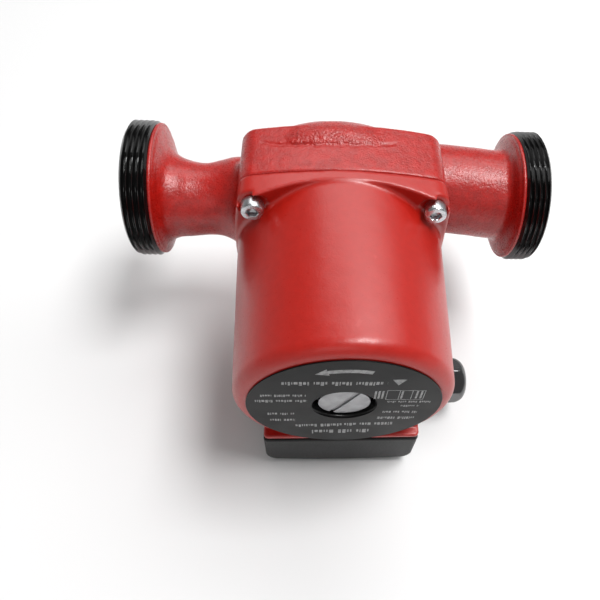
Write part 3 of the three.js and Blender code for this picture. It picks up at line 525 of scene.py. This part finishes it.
def crossing_quads(inside, index, size):
    """One face around each grid edge that crosses the surface, joining the four cells' points
    and wound so that it faces outwards."""
    quads = []
    for axis in range(3):
        u, v = [(1, 2), (2, 0), (0, 1)][axis]
        here = [slice(1, m) for m in size]
        here[axis] = slice(0, size[axis])
        there = list(here)
        there[axis] = slice(1, size[axis] + 1)
        first, second = inside[tuple(here)], inside[tuple(there)]
        base = np.argwhere(first != second)
        outward = first[first != second]
        base[:, u] += 1
        base[:, v] += 1
        ring = []
        for du, dv in ((0, 0), (-1, 0), (-1, -1), (0, -1)):
            cell = base.copy()
            cell[:, u] += du
            cell[:, v] += dv
            ring.append(index[tuple(cell.T)])
        ring = np.stack(ring, 1)
        ring[~outward] = ring[~outward][:, ::-1]
        quads.append(ring)
    return np.concatenate(quads)


def surface(name, sdf, low, high, step, relief=None):
    """The zero surface of a signed distance as an object: one point for each crossed cell of a
    grid, moved onto the surface, then along its normal by what relief says."""
    axes = [np.arange(a - 2 * step, b + 2 * step, step) for a, b in zip(low, high)]
    value = sdf(*np.meshgrid(*axes, indexing="ij", sparse=True))
    inside = value < 0
    size = np.array(value.shape) - 1
    count = np.zeros(size, np.int8)
    for corner in np.ndindex(2, 2, 2):
        count += inside[window(corner, size)]
    active = (count > 0) & (count < 8)
    cells = np.argwhere(active)
    origin = np.array([a[0] for a in axes])
    points = origin + (cells + crossing_points(value, active, size)) * step
    index = np.full(size, -1, np.int64)
    index[active] = np.arange(len(cells))
    quads = crossing_quads(inside, index, size)
    furthest = 0.6 * step
    for _ in range(3):
        g = gradient(sdf, points)
        square = np.maximum((g * g).sum(1), 0.05)
        move = -(sdf(*points.T) / square)[:, None] * g
        points += np.clip(move, -furthest, furthest)
    if relief is not None:
        g = gradient(sdf, points, 0.3)
        normal = g / np.maximum(np.linalg.norm(g, axis=1), 1e-6)[:, None]
        points += normal * relief(points)[:, None]
    return from_quads(name, points, quads)


LATTICE = 32
RANDOM = np.random.default_rng(11).random((LATTICE, LATTICE, LATTICE)) * 2 - 1


def grain(points, size):
    """Smooth noise from -1 to 1 whose lumps are about size millimetres."""
    q = points / size
    low = np.floor(q).astype(int)
    f = q - low
    f = f * f * (3 - 2 * f)
    total = 0
    for corner in np.ndindex(2, 2, 2):
        weight = np.prod(np.where(corner, f, 1 - f), axis=1)
        total = total + weight * RANDOM[tuple(((low + corner) % LATTICE).T)]
    return total


def revolve(name, axis, rings, steps, centre=(0, 0, 0)):
    """Joins rings of (radius, place along the axis) about an axis. Either is one number or one
    for each step. A zero radius closes an end; without one the last ring joins the first."""
    angles = np.arange(steps) * 2 * math.pi / steps
    order = {"x": (1, 2, 0), "y": (2, 0, 1), "z": (0, 1, 2)}[axis]
    mesh = bmesh.new()
    made = []
    for radius, place in rings:
        radius = np.broadcast_to(radius, steps)
        place = np.broadcast_to(place, steps)
        ring = []
        for i in range(1 if radius.max() == 0 else steps):
            p = np.zeros(3)
            p[order[0]] = radius[i] * math.cos(angles[i])
            p[order[1]] = radius[i] * math.sin(angles[i])
            p[order[2]] = place[i]
            ring.append(mesh.verts.new((p + centre) * MM))
        made.append(ring)
    pairs = list(zip(made, made[1:]))
    if len(made[0]) > 1:
        pairs.append((made[-1], made[0]))
    for a, b in pairs:
        for i in range(steps):
            j = (i + 1) % steps
            if len(a) == 1:
                mesh.faces.new((a[0], b[j], b[i]))
            elif len(b) == 1:
                mesh.faces.new((a[i], a[j], b[0]))
            else:
                mesh.faces.new((a[i], a[j], b[j], b[i]))
    bmesh.ops.recalc_face_normals(mesh, faces=mesh.faces)
    return from_bmesh(name, mesh, 40)


# ---- materials ------------------------------------------------------------------------

# The Mix node's sockets for colours, by number because their names repeat.
MIX_FACTOR, MIX_A, MIX_B, MIX_RESULT = 0, 6, 7, 2


def node(mat, kind, inputs=(), **properties):
    """A new shader node. Each input is a value to set or a socket to link from."""
    made = mat.node_tree.nodes.new("ShaderNode" + kind)
    for name, value in properties.items():
        setattr(made, name, value)
    for key, value in dict(inputs).items():
        if isinstance(value, bpy.types.NodeSocket):
            mat.node_tree.links.new(value, made.inputs[key])
        else:
            made.inputs[key].default_value = value
    return made


def material(name, roughness, metallic=0.0, **sockets):
    """A new node material and its shader, with the constant sockets set."""
    mat = bpy.data.materials.new(name)
    mat.use_nodes = True
    shader = mat.node_tree.nodes["Principled BSDF"]
    shader.inputs["Roughness"].default_value = roughness
    shader.inputs["Metallic"].default_value = metallic
    for key, value in sockets.items():
        shader.inputs[key.replace("_", " ")].default_value = value
    return mat, shader


def link(mat, source, shader, key):
    """Links a socket into one of the shader's inputs."""
    mat.node_tree.links.new(source, shader.inputs[key])


def place_on(mat, stretch=(1, 1, 1)):
    """The position on the piece in its own frame, scaled along each axis by stretch."""
    here = node(mat, "TexCoord").outputs["Object"]
    return node(mat, "Mapping", {"Vector": here, "Scale": stretch}).outputs["Vector"]


def lumps(mat, where, size, detail=3.0, rough=0.5):
    """Noise from 0 to 1 with lumps of a size in millimetres."""
    values = {"Vector": where, "Scale": 0.5 / (size * MM), "Detail": detail, "Roughness": rough}
    return node(mat, "TexNoise", values).outputs["Fac"]


def bands(mat, where, size, distortion, axis):
    """Waves from 0 to 1 across an axis, each 2 pi times size millimetres long."""
    scale = 1 / (size * MM) / 20
    values = {"Vector": where, "Scale": scale, "Distortion": distortion}
    return node(mat, "TexWave", values, bands_direction=axis).outputs["Fac"]


def spread(mat, value, from_low, from_high, low, high):
    """A value moved from one range into another, and held within it."""
    values = {"Value": value, "From Min": from_low, "From Max": from_high}
    values.update({"To Min": low, "To Max": high})
    return node(mat, "MapRange", values).outputs["Result"]


def math_node(mat, operation, a, b=0.0):
    """The result of a Math node on two numbers or sockets."""
    return node(mat, "Math", {0: a, 1: b}, operation=operation).outputs[0]


def mix(mat, factor, a, b):
    """Colour a where factor is 0 and b where it is 1. Each is a colour or a socket."""
    inputs = {MIX_FACTOR: factor}
    for key, color in ((MIX_A, a), (MIX_B, b)):
        inputs[key] = color if isinstance(color, bpy.types.NodeSocket) else (*color, 1)
    return node(mat, "Mix", inputs, data_type="RGBA").outputs[MIX_RESULT]


def bumps(mat, shader, *layers):
    """Bump layers of (height socket, depth in millimetres), each laid on the one before."""
    normal = None
    for height, depth in layers:
        values = {"Height": height, "Distance": depth * MM, "Strength": 1.0}
        if normal is not None:
            values["Normal"] = normal
        normal = node(mat, "Bump", values).outputs["Normal"]
    link(mat, normal, shader, "Normal")


def edges(mat, low, high):
    """1 on convex edges, where paint runs thin and handling wears it."""
    point = node(mat, "NewGeometry").outputs["Pointiness"]
    return spread(mat, point, low, high, 0, 1)


def painted_shade_in_front_hole(mat, here):
    """1 inside the bore behind the vent plug, where near-black is painted in as the shade of
    that deep hole.
    """
    flat = node(mat, "VectorMath", {0: here, 1: (1, 0, 1)}, operation="MULTIPLY").outputs[0]
    rho = node(mat, "VectorMath", {0: flat}, operation="LENGTH").outputs["Value"]
    return spread(mat, rho, (PLATE_HOLE_R + 1.6) * MM, (PLATE_HOLE_R + 1.8) * MM, 1, 0)


def rough_top(mat, here):
    """1 on the rough-cast strip where the casing rises out of the top of the block."""
    x, y, z = node(mat, "SeparateXYZ", {0: here}).outputs
    x = math_node(mat, "ABSOLUTE", math_node(mat, "ADD", x, 5 * MM))
    product = spread(mat, x, 17 * MM, 26 * MM, 1, 0)
    for value, from_low, from_high, low, high in (
        (y, -17.5, -15.5, 0, 1),
        (y, -9, -5, 1, 0),
        (z, 41.5, 43, 0, 1),
    ):
        mask = spread(mat, value, from_low * MM, from_high * MM, low, high)
        product = math_node(mat, "MULTIPLY", product, mask)
    return product


def red_paint(name, color, grain_size, grain_depth, roughness, mottle):
    """Semi-gloss red enamel over a casting: mottled, thin and paler on its edges. Returns the
    material, its shader, its place, its colour and its three bump layers, to be finished."""
    mat, shader = material(name, roughness, Specular_IOR_Level=0.6)
    here = place_on(mat)
    coarse = lumps(mat, here, grain_size * 4, 3)
    fine = lumps(mat, here, grain_size, 4, 0.6)
    dust = lumps(mat, here, 0.35, 2)
    deep = tuple(c * mottle for c in color)
    tone = mix(mat, spread(mat, coarse, 0.35, 0.65, 0, 1), deep, color)
    worn = math_node(mat, "MULTIPLY", edges(mat, 0.53, 0.62), 0.35)
    paler = tuple(min(1, c * 1.15 + 0.03) for c in color)
    tone = mix(mat, worn, tone, paler)
    rough = spread(mat, fine, 0.3, 0.7, roughness - 0.07, roughness + 0.07)
    link(mat, rough, shader, "Roughness")
    layers = [(coarse, grain_depth), (fine, grain_depth), (dust, grain_depth * 0.35)]
    return mat, shader, here, tone, layers


def red_iron():
    """The pump housing's paint, over rough-cast pits at the casing's top."""
    mat, shader, here, tone, layers = red_paint(
        "red_iron", (0.41, 0.0085, 0.005), grain_size=0.4, grain_depth=0.14, roughness=0.3,
        mottle=0.78,
    )
    pit_size = pit_depth = 0.55
    pits = math_node(mat, "MULTIPLY", lumps(mat, here, pit_size, 2), rough_top(mat, here))
    coarse, fine, dust = layers
    link(mat, tone, shader, "Base Color")
    bumps(mat, shader, coarse, (pits, pit_depth), fine, dust)
    return mat


def red_aluminium():
    """The motor housing's smoother paint, with near-black painted shade inside its front hole.
    """
    mat, shader, here, tone, layers = red_paint(
        "red_aluminium", (0.405, 0.009, 0.004), grain_size=0.3, grain_depth=0.03,
        roughness=0.34, mottle=0.93,
    )
    # Painted shade: the bore behind the vent plug is coloured near-black to stand in for the
    # shade in that deep hole.
    painted_shade_black = (0.004, 0.004, 0.004)
    link(mat, mix(mat, painted_shade_in_front_hole(mat, here), tone, painted_shade_black), shader, "Base Color")
    bumps(mat, shader, *layers)
    return mat


def iron_thread():
    """Bare, oil-blackened thread, with the sealing face at its end turned bright."""
    mat, shader = material("thread_black", 0.14, Specular_IOR_Level=0.6)
    here = place_on(mat)
    film = lumps(mat, here, 2.2, 4, 0.6)
    nicks = lumps(mat, here, 0.5, 3)
    along = math_node(mat, "ABSOLUTE", node(mat, "SeparateXYZ", {0: here}).outputs[0])
    face = spread(mat, along, (PORT_X - 0.35) * MM, (PORT_X - 0.15) * MM, 0, 1)
    tone = mix(mat, film, (0.0015, 0.0015, 0.0015), (0.004, 0.0038, 0.004))
    tone = mix(mat, face, tone, (0.16, 0.155, 0.15))
    link(mat, tone, shader, "Base Color")
    link(mat, spread(mat, film, 0.3, 0.7, 0.08, 0.18), shader, "Roughness")
    turning = node(
        mat, "TexWave", {"Vector": here, "Scale": 450.0, "Distortion": 0.6}, wave_type="RINGS",
        rings_direction="X",
    ).outputs["Fac"]
    bumps(mat, shader, (film, 0.03), (nicks, 0.004), (turning, 0.002))
    return mat


def moulded(name, color, roughness, texture=0.35, depth=0.02, specular=0.5):
    """Moulded plastic, rubber or pressed powder with a fine eroded texture."""
    mat, shader = material(name, roughness, Specular_IOR_Level=specular)
    here = place_on(mat)
    skin = lumps(mat, here, texture, 3, 0.65)
    flow = lumps(mat, here, 9, 3)
    lighter = tuple(c * 1.25 + 0.004 for c in color)
    link(mat, mix(mat, flow, color, lighter), shader, "Base Color")
    rough = spread(mat, skin, 0.3, 0.7, roughness - 0.06, roughness + 0.08)
    link(mat, rough, shader, "Roughness")
    bumps(mat, shader, (flow, depth * 1.5), (skin, depth))
    return mat


def metal(name, color, roughness, stretch=(1, 1, 1), depth=0.006, stain=0.75):
    """Bare or plated metal, with fine marks drawn out along one axis and a cloudy film."""
    mat, shader = material(name, roughness, 1.0)
    lines = lumps(mat, place_on(mat, stretch), 0.25, 3, 0.6)
    cloud = lumps(mat, place_on(mat), 2.5, 4, 0.6)
    darker = tuple(c * stain for c in color)
    tone = mix(mat, spread(mat, cloud, 0.35, 0.65, 0, 1), darker, color)
    link(mat, tone, shader, "Base Color")
    rough = spread(mat, cloud, 0.3, 0.7, roughness + 0.1, roughness - 0.06)
    link(mat, rough, shader, "Roughness")
    bumps(mat, shader, (cloud, depth * 2), (lines, depth))
    return mat


def laminated(name, color, size):
    """Stacked sheets, seen as soft rings along the motor axis."""
    mat, shader = material(name, 0.45, 0.9)
    here = place_on(mat)
    sheets = bands(mat, here, size, 0.4, "Y")
    film = lumps(mat, here, 2, 3)
    link(mat, mix(mat, film, tuple(c * 0.7 for c in color), color), shader, "Base Color")
    link(mat, spread(mat, film, 0.3, 0.7, 0.35, 0.55), shader, "Roughness")
    bumps(mat, shader, (film, 0.02), (sheets, 0.05))
    return mat


def wound(name, color, size, axis):
    """Varnished wire or a braided sleeve: even turns across a wandering bundle."""
    mat, shader = material(name, 0.35, 0.0, Coat_Weight=0.6, Coat_Roughness=0.15)
    here = place_on(mat)
    turns = bands(mat, here, size, 2.5, axis)
    bundle = lumps(mat, here, 4, 3)
    dark = tuple(c * 0.55 for c in color)
    link(mat, mix(mat, turns, dark, color), shader, "Base Color")
    link(mat, spread(mat, bundle, 0.3, 0.7, 0.28, 0.45), shader, "Roughness")
    bumps(mat, shader, (bundle, 0.15), (turns, 0.12))
    return mat


def plate_film():
    """Dark printed film: satin, with faint handling marks."""
    mat, shader = material("nameplate_film", 0.36, Specular_IOR_Level=0.1)
    here = place_on(mat)
    smear = lumps(mat, here, 7, 4, 0.6)
    weave = lumps(mat, here, 0.3, 2)
    tone = mix(mat, smear, (0.004, 0.0041, 0.0041), (0.01, 0.0102, 0.0102))
    link(mat, tone, shader, "Base Color")
    link(mat, spread(mat, smear, 0.3, 0.7, 0.28, 0.42), shader, "Roughness")
    bumps(mat, shader, (smear, 0.02), (weave, 0.004))
    return mat


def plate_print():
    """Pale printing ink, patchy with wear."""
    mat, shader = material("nameplate_print", 0.5)
    worn = lumps(mat, place_on(mat), 0.8, 4, 0.7)
    patches = spread(mat, worn, 0.35, 0.6, 0, 1)
    tone = mix(mat, patches, (0.16, 0.16, 0.16), (0.36, 0.36, 0.36))
    link(mat, tone, shader, "Base Color")
    bumps(mat, shader, (worn, 0.004))
    return mat


RED_IRON = red_iron()
RED_ALUMINIUM = red_aluminium()
THREAD_BLACK = iron_thread()
BLACK_PLASTIC = moulded(
    "black_plastic", (0.014, 0.0143, 0.0146), 0.46, texture=0.35, depth=0.05, specular=0.22
)
GLOSSY_BLACK = moulded(
    "glossy_black", (0.015, 0.015, 0.016), 0.12, texture=0.6, depth=0.006, specular=0.9
)
NICKEL = metal("nickel_brass", (0.36, 0.36, 0.37), 0.34, (14, 1, 1), stain=0.8)
ZINC = metal("zinc_steel", (0.62, 0.63, 0.65), 0.26, (1, 8, 1), depth=0.008)
PLATE_FILM = plate_film()
PLATE_PRINT = plate_print()

# The material of each slot, for the CAD nodes that stay as they are.
FINISHES = {
    "red_cast_iron": RED_IRON,
    "red_cast_aluminium": RED_ALUMINIUM,
    "stainless": metal("stainless", (0.55, 0.56, 0.57), 0.28, (1, 12, 1)),
    "zinc_steel": ZINC,
    "nickel_brass": NICKEL,
    "brass": metal("brass", (0.6, 0.4, 0.13), 0.3),
    "copper": wound("copper", (0.42, 0.12, 0.035), 0.7, "Y"),
    "lamination_steel": laminated("lamination_steel", (0.25, 0.26, 0.28), 0.5),
    "ceramic": moulded("ceramic", (0.8, 0.78, 0.7), 0.25, 0.3, 0.004),
    "carbon": moulded("carbon", (0.025, 0.025, 0.028), 0.5, 0.25, 0.01),
    "rubber": moulded("rubber", (0.016, 0.016, 0.017), 0.75, 0.5, 0.03),
    "impeller_plastic": moulded("impeller_plastic", (0.66, 0.61, 0.5), 0.5, 0.6, 0.02),
    "pale_plastic": moulded("pale_plastic", (0.68, 0.68, 0.64), 0.45, 0.5, 0.012),
    "black_plastic": BLACK_PLASTIC,
    "wire_insulation": wound("wire_insulation", (0.03, 0.075, 0.22), 0.5, "Z"),
}

# ---- castings -------------------------------------------------------------------------


def dress(piece, mat, body, slot, *nodes):
    """Gives a piece its material and its body, and hides the CAD nodes it stands for. The slot
    is not used.
    """
    piece.data.materials.append(mat)
    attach(piece, body)
    if nodes:
        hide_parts(*nodes)


def ramp(t, low, high):
    """0 below one level of t and 1 above another, straight between them."""
    return np.clip((t - low) / (high - low), 0, 1)


def housing_relief(points):
    """As-cast skin: rough on the volute's back, finer on the block and the necks, none on
    machined faces."""
    x, y, z = points.T
    on_back = ramp(y, -2, 3) * (np.abs(x) < 46)
    on_top = ramp(z, 40, 43) * ramp(y, -17, -15.5) * ramp(x, -24, -16) * ramp(-x, -27, -21)
    rough = 0.1 * grain(points, 2.3) + 0.05 * grain(points + 40, 1.3)
    skin = 0.06 * grain(points, 3.6) + 0.025 * grain(points + 17, 1.2)
    relief = skin + np.maximum(0.7 * on_back, 0.45 * on_top) * rough
    off_joint = ramp(y, JOINT_Y + 0.4, JOINT_Y + 1.9)
    rho = np.hypot(y, z)
    off_bore = (rho > BORE_R + 1.5) | (np.abs(x) < 60)
    off_lip = (rho < LIP_R - 0.4) | (np.abs(x) < 70)
    off_spaces = np.hypot(x, z) > 30
    return relief * off_joint * (off_bore & off_lip) * off_spaces


def motor_relief(points):
    """The finer skin of the motor's casting, outside only and off the joint and the seat."""
    x, y, z = points.T
    outside = np.hypot(x, z) > 38
    off_joint = ramp(-y, 0.9 - JOINT_Y, 2.4 - JOINT_Y)
    off_seat = z > -46
    return 0.035 * grain(points, 4.5) * outside * off_joint * off_seat


def castings():
    """The pump housing, short of its two thread ends, and the motor housing."""
    ends = np.array([10, 0, 0])
    low, high = HOUSING_LOW + ends, HOUSING_HIGH - ends
    piece = surface("pump_casting", housing, low, high, 0.62, housing_relief)
    dress(piece, RED_IRON, "pump_body", "red_cast_iron", "pump_housing")
    piece = surface("motor_casting", motor, MOTOR_LOW, MOTOR_HIGH, 0.7, motor_relief)
    dress(piece, RED_ALUMINIUM, "pump_body", "red_cast_aluminium", "motor_housing")


def port_thread(name, side):
    """The machined end of a port: bore, sealing face and 11-per-inch thread. The form is a
    sine wave with its slopes drawn straighter, and both ends of the thread run out."""
    steps, rings_per_turn, fullness, clearance = 180, 12, 0.94, 0.02
    around = np.arange(steps) / steps
    start = PORT_X - THREAD_LENGTH - 0.1
    half_depth = THREAD_DEPTH / 2
    rings = [(BORE_R, start)]
    for t in np.arange(start, PORT_X + 0.01, THREAD_PITCH / rings_per_turn):
        wave = np.sin(2 * math.pi * (t / THREAD_PITCH - around)) * fullness
        form = np.arcsin(wave) / math.asin(fullness)
        radius = THREAD_R - clearance - half_depth + half_depth * form
        limit = THREAD_R - 1.5 + min((PORT_X - t) * 1.2, (t - start) * 1.6)
        rings.append((np.minimum(radius, limit), min(t, PORT_X)))
    rings.append((BORE_R + 0.5, PORT_X))
    rings.append((BORE_R, PORT_X - 0.5))
    piece = revolve(name, "x", [(r, t * side) for r, t in rings], steps)
    dress(piece, THREAD_BLACK, "pump_body", "red_cast_iron", "pump_housing")


castings()
port_thread("suction_thread", 1)
port_thread("discharge_thread", -1)

# ---- motor front ------------------------------------------------------------------------


def plate_disc():
    """The name plate's film, a ring with eased edges."""
    front, back, ease = PLATE_LOW[1] + PRINT, PLATE_HIGH[1], 0.12
    rings = [
        (PLATE_HOLE_R, back), (PLATE_HOLE_R, front + ease), (PLATE_HOLE_R + ease, front),
        (PLATE_R - 9, front), (PLATE_R - ease, front), (PLATE_R, front + ease),
        (PLATE_R, back),
    ]
    piece = revolve("nameplate_disc", "y", rings, 192)
    dress(piece, PLATE_FILM, "pump_body", "nameplate_film", "nameplate")


def mark(mesh, outline):
    """A flat printed mark on the plate, from its (x, z) outline. Its back is in the film."""
    front_y, back_y = PLATE_LOW[1], PLATE_LOW[1] + 3 * PRINT
    front = [mesh.verts.new((x * MM, front_y * MM, z * MM)) for x, z in outline]
    back = [mesh.verts.new((x * MM, back_y * MM, z * MM)) for x, z in outline]
    mesh.faces.new(front)
    mesh.faces.new(back[::-1])
    for i in range(len(outline)):
        j = (i + 1) % len(outline)
        mesh.faces.new((front[j], front[i], back[i], back[j]))


def dashes(mesh, x0, z0, x1, z1, height, seed):
    """A printed line stood for by short plain dashes, with word-like gaps. It says nothing."""
    draw = np.random.default_rng(seed)
    length = math.hypot(x1 - x0, z1 - z0)
    ux, uz = (x1 - x0) / length, (z1 - z0) / length
    gap, word_gap = 0.17, 0.6
    t = 0.0
    until_gap = draw.integers(4, 9)
    while t < length:
        width = height * draw.uniform(0.12, 0.5)
        lift = height * draw.choice([-0.3, -0.2, 0, 0.1])
        end = min(t + width, length)
        low, high = -height / 2 - lift, height / 2
        corners_along = ((t, low), (end, low), (end, high), (t, high))
        mark(mesh, [(x0 + ux * a - uz * b, z0 + uz * a + ux * b) for a, b in corners_along])
        until_gap -= 1
        t = end + height * (gap if until_gap else word_gap)
        if until_gap == 0:
            until_gap = draw.integers(3, 9)


def on_circle(radius, angle):
    """The (x, z) point at a radius and an angle from +X."""
    return radius * math.cos(angle), radius * math.sin(angle)


def arrow(mesh, radius, start, end):
    """The direction arrow, bent round the plate's middle, in degrees from +X."""
    shaft_half, head_half, head_length = 1.15, 2.3, 9
    shaft = np.radians(np.linspace(start, end - head_length, 13))
    inner = [on_circle(radius - shaft_half, a) for a in shaft]
    outer = [on_circle(radius + shaft_half, a) for a in shaft]
    for i in range(len(shaft) - 1):
        mark(mesh, [inner[i], inner[i + 1], outer[i + 1], outer[i]])
    neck, tip = math.radians(end - head_length), math.radians(end)
    mark(mesh, [
        on_circle(radius - head_half, neck), on_circle(radius, tip),
        on_circle(radius + head_half, neck),
    ])


def frame_line(mesh, points, width):
    """Straight strips of a width through (x, z) points."""
    for (x0, z0), (x1, z1) in zip(points, points[1:]):
        length = math.hypot(x1 - x0, z1 - z0)
        px, pz = -(z1 - z0) / length * width / 2, (x1 - x0) / length * width / 2
        mark(mesh, [
            (x0 - px, z0 - pz), (x1 - px, z1 - pz), (x1 + px, z1 + pz), (x0 + px, z0 + pz),
        ])


def plate_marks():
    """Generic marks in place of the printed ones: an arrow, a triangle, lines of dashes and a
    small empty table."""
    mesh = bmesh.new()
    arrow(mesh, 28.4, 73.4, 113.0)
    mark(mesh, [(15.1, 22.0), (17.6, 17.6), (20.0, 22.0)])
    # Each line of dashes from one (x, z) to another, and its height.
    lines = [
        (-22.2, 19.2, 13.7, 18.9, 2.6), (-29.9, 9.5, -14.1, 9.3, 1.6),
        (-32.0, 4.9, -13.7, 4.6, 2.0), (-28.2, -6.8, -18.1, -7.1, 1.9),
        (-27.5, -12.8, -18.2, -13.0, 1.9), (15.3, 3.6, 31.1, 3.3, 1.5),
        (20.7, -0.2, 27.5, -0.4, 1.5), (14.6, -5.8, 27.6, -6.1, 1.7),
        (13.2, -11.5, 28.0, -11.8, 2.0), (-18.0, -19.0, 0.0, -18.3, 2.5),
        (0.9, -18.2, 20.4, -17.3, 2.5), (-11.6, -25.6, 11.0, -25.0, 3.3),
    ]
    for seed, line in enumerate(lines, 20):
        dashes(mesh, *line, seed)
    thin, thick = 0.25, 0.7
    frame_line(mesh, [(14.4, 13.4), (27.9, 13.2), (27.9, 5.4), (14.4, 5.6), (14.4, 13.4)], thin)
    for x in (18.9, 23.4):
        frame_line(mesh, [(x, 13.3), (x, 5.5)], thin)
    for x in (10.4, 11.7, 13.0, 19.9, 25.2, 26.8):
        frame_line(mesh, [(x, 12.8), (x, 6.4)], thick)
    bmesh.ops.recalc_face_normals(mesh, faces=mesh.faces)
    piece = from_bmesh("nameplate_marks", mesh, 30)
    dress(piece, PLATE_PRINT, "pump_body", "nameplate_film", "nameplate")


def flange_screw(name, x, z):
    """An M5 socket cap screw: knurled head, hexagon well, and its threaded shank."""
    low, high = corners(name)
    face, tip = low[1], high[1]
    steps, head_height = 120, 5
    pitch, ridge_height, shank_r, thread_from = 0.8, 0.18, 2.3, 9
    angles = np.arange(steps) * 2 * math.pi / steps
    sixth = math.pi / 3
    well = 2.0 / np.cos((angles + sixth / 2) % sixth - sixth / 2)
    knurl = 4.2 + 0.05 * np.cos(40 * angles)
    rings = [
        (0, face + 2.9), (well * 0.9, face + 2.5), (well, face + 2.3), (well, face + 0.25),
        (well + 0.22, face), (3.7, face), (3.95, face + 0.1), (4.1, face + 0.35),
        (knurl, face + 0.7), (knurl, face + 4.5), (4.1, face + 4.7), (4.0, face + head_height),
        (2.5, face + head_height),
    ]
    for t in np.arange(face + thread_from, tip - pitch, 0.2):
        ridge = ridge_height * np.sin(2 * math.pi * t / pitch - angles)
        rings.append((shank_r + ridge, t))
    rings += [(1.9, tip - 0.2), (1.6, tip), (0, tip)]
    piece = revolve(name + "_m5", "y", rings, steps, (x, 0, z))
    dress(piece, ZINC, "pump_body", "zinc_steel", name)


plate_disc()
plate_marks()
for height, z in (("top", SCREW_HALF), ("bottom", -SCREW_HALF)):
    for side, x in (("left", -SCREW_HALF), ("right", SCREW_HALF)):
        flange_screw(f"flange_screw_{height}_{side}", x, z)

vent = surface("vent_plug_slotted", plug, PLUG_LOW, PLUG_HIGH, 0.24)
dress(vent, NICKEL, "vent_plug", "nickel_brass", "vent_plug")

# ---- terminal box and gland ------------------------------------------------------------

cover = surface("terminal_lid", lid, LID_LOW, LID_HIGH, 0.75)
dress(cover, BLACK_PLASTIC, "pump_body", "black_plastic", "terminal_box_lid")

dial = surface("speed_dial", knob, KNOB_LOW, KNOB_HIGH, 0.3)
dress(dial, BLACK_PLASTIC, "speed_knob", "black_plastic", "speed_knob")

dome_nut = surface("gland_dome_nut", nut, NUT_LOW, NUT_HIGH, 0.4)
dress(dome_nut, GLOSSY_BLACK, "gland_nut", "black_plastic", "gland_nut")

# ---- CAD nodes that stay ----------------------------------------------------------------

SLOT_OF = {part["node"]: part["material_slot"] for part in frame["record"]["subparts"]}

for name, kept in frame["nodes"].items():
    if kept.hide_render:  # a piece stands for it
        continue
    kept.data.materials.clear()
    kept.data.materials.append(FINISHES[SLOT_OF[name]])
    kept.data.shade_smooth()
    kept.data.set_sharp_from_angle(angle=math.radians(32))

# ---- floor, light and camera -------------------------------------------------------------


def floor():
    """A pale floor at the foot of the part."""
    mesh = bmesh.new()
    bmesh.ops.create_grid(mesh, x_segments=1, y_segments=1, size=4)
    piece = from_bmesh("floor", mesh, 30)
    piece.location.z = CAD_BOX[0][2]
    mat, shader = material("floor_white", 0.8)
    speck = lumps(mat, place_on(mat), 300, 2)
    link(mat, mix(mat, speck, (0.8, 0.8, 0.8), (0.83, 0.83, 0.83)), shader, "Base Color")
    piece.data.materials.append(mat)


def softbox(name, direction, distance, width, height, power):
    """A white rectangular lamp of metres and watts, aimed at the origin from a direction."""
    lamp = bpy.data.lights.new(name, "AREA")
    lamp.shape = "RECTANGLE"
    lamp.size, lamp.size_y = width, height
    lamp.energy = power
    toward = Vector(direction).normalized()
    at = new_object(name, lamp)
    at.location = toward * distance
    at.rotation_euler = toward.to_track_quat("Z", "Y").to_euler()


def studio_world():
    """White all round, brightest at the horizon and dimmer overhead."""
    world = bpy.data.worlds.new("studio")
    world.use_nodes = True
    background = world.node_tree.nodes["Background"]
    background.inputs["Color"].default_value = (1, 1, 1, 1)
    aim = node(world, "TexCoord").outputs["Generated"]
    height = node(world, "SeparateXYZ", {0: aim}).outputs["Z"]
    glow = spread(world, height, 0.0, 0.5, 0.5, 0.2)
    world.node_tree.links.new(glow, background.inputs["Strength"])
    bpy.context.scene.world = world


def place_camera():
    """The photograph's view, fitted to the pump's outline with its 180 mm length held."""
    data = bpy.data.cameras.new("camera")
    data.lens = 35.33
    data.sensor_width = 36
    data.shift_x = -0.094
    data.shift_y = -0.0027
    data.clip_start = 0.01
    right = Vector((0.99665, -0.03836, 0.07226))
    up = Vector((-0.00750, 0.83668, 0.54764))
    back = Vector((-0.08146, -0.54634, 0.83359))
    aim = Matrix((right, up, back)).transposed().to_4x4()
    camera = new_object("camera", data)
    camera.matrix_world = Matrix.Translation((-0.013465, -0.189924, 0.200775)) @ aim
    bpy.context.scene.camera = camera


floor()
softbox("overhead", (0.3, -0.05, 0.94), 1.3, 0.55, 0.4, 15)
softbox("behind_above", (0.25, 0.52, 0.82), 1.6, 2.2, 0.8, 16)
softbox("front_high", (-0.1, -0.8, 0.6), 1.6, 1.0, 0.6, 2)
studio_world()
bpy.context.scene.view_settings.view_transform = "Standard"
place_camera()
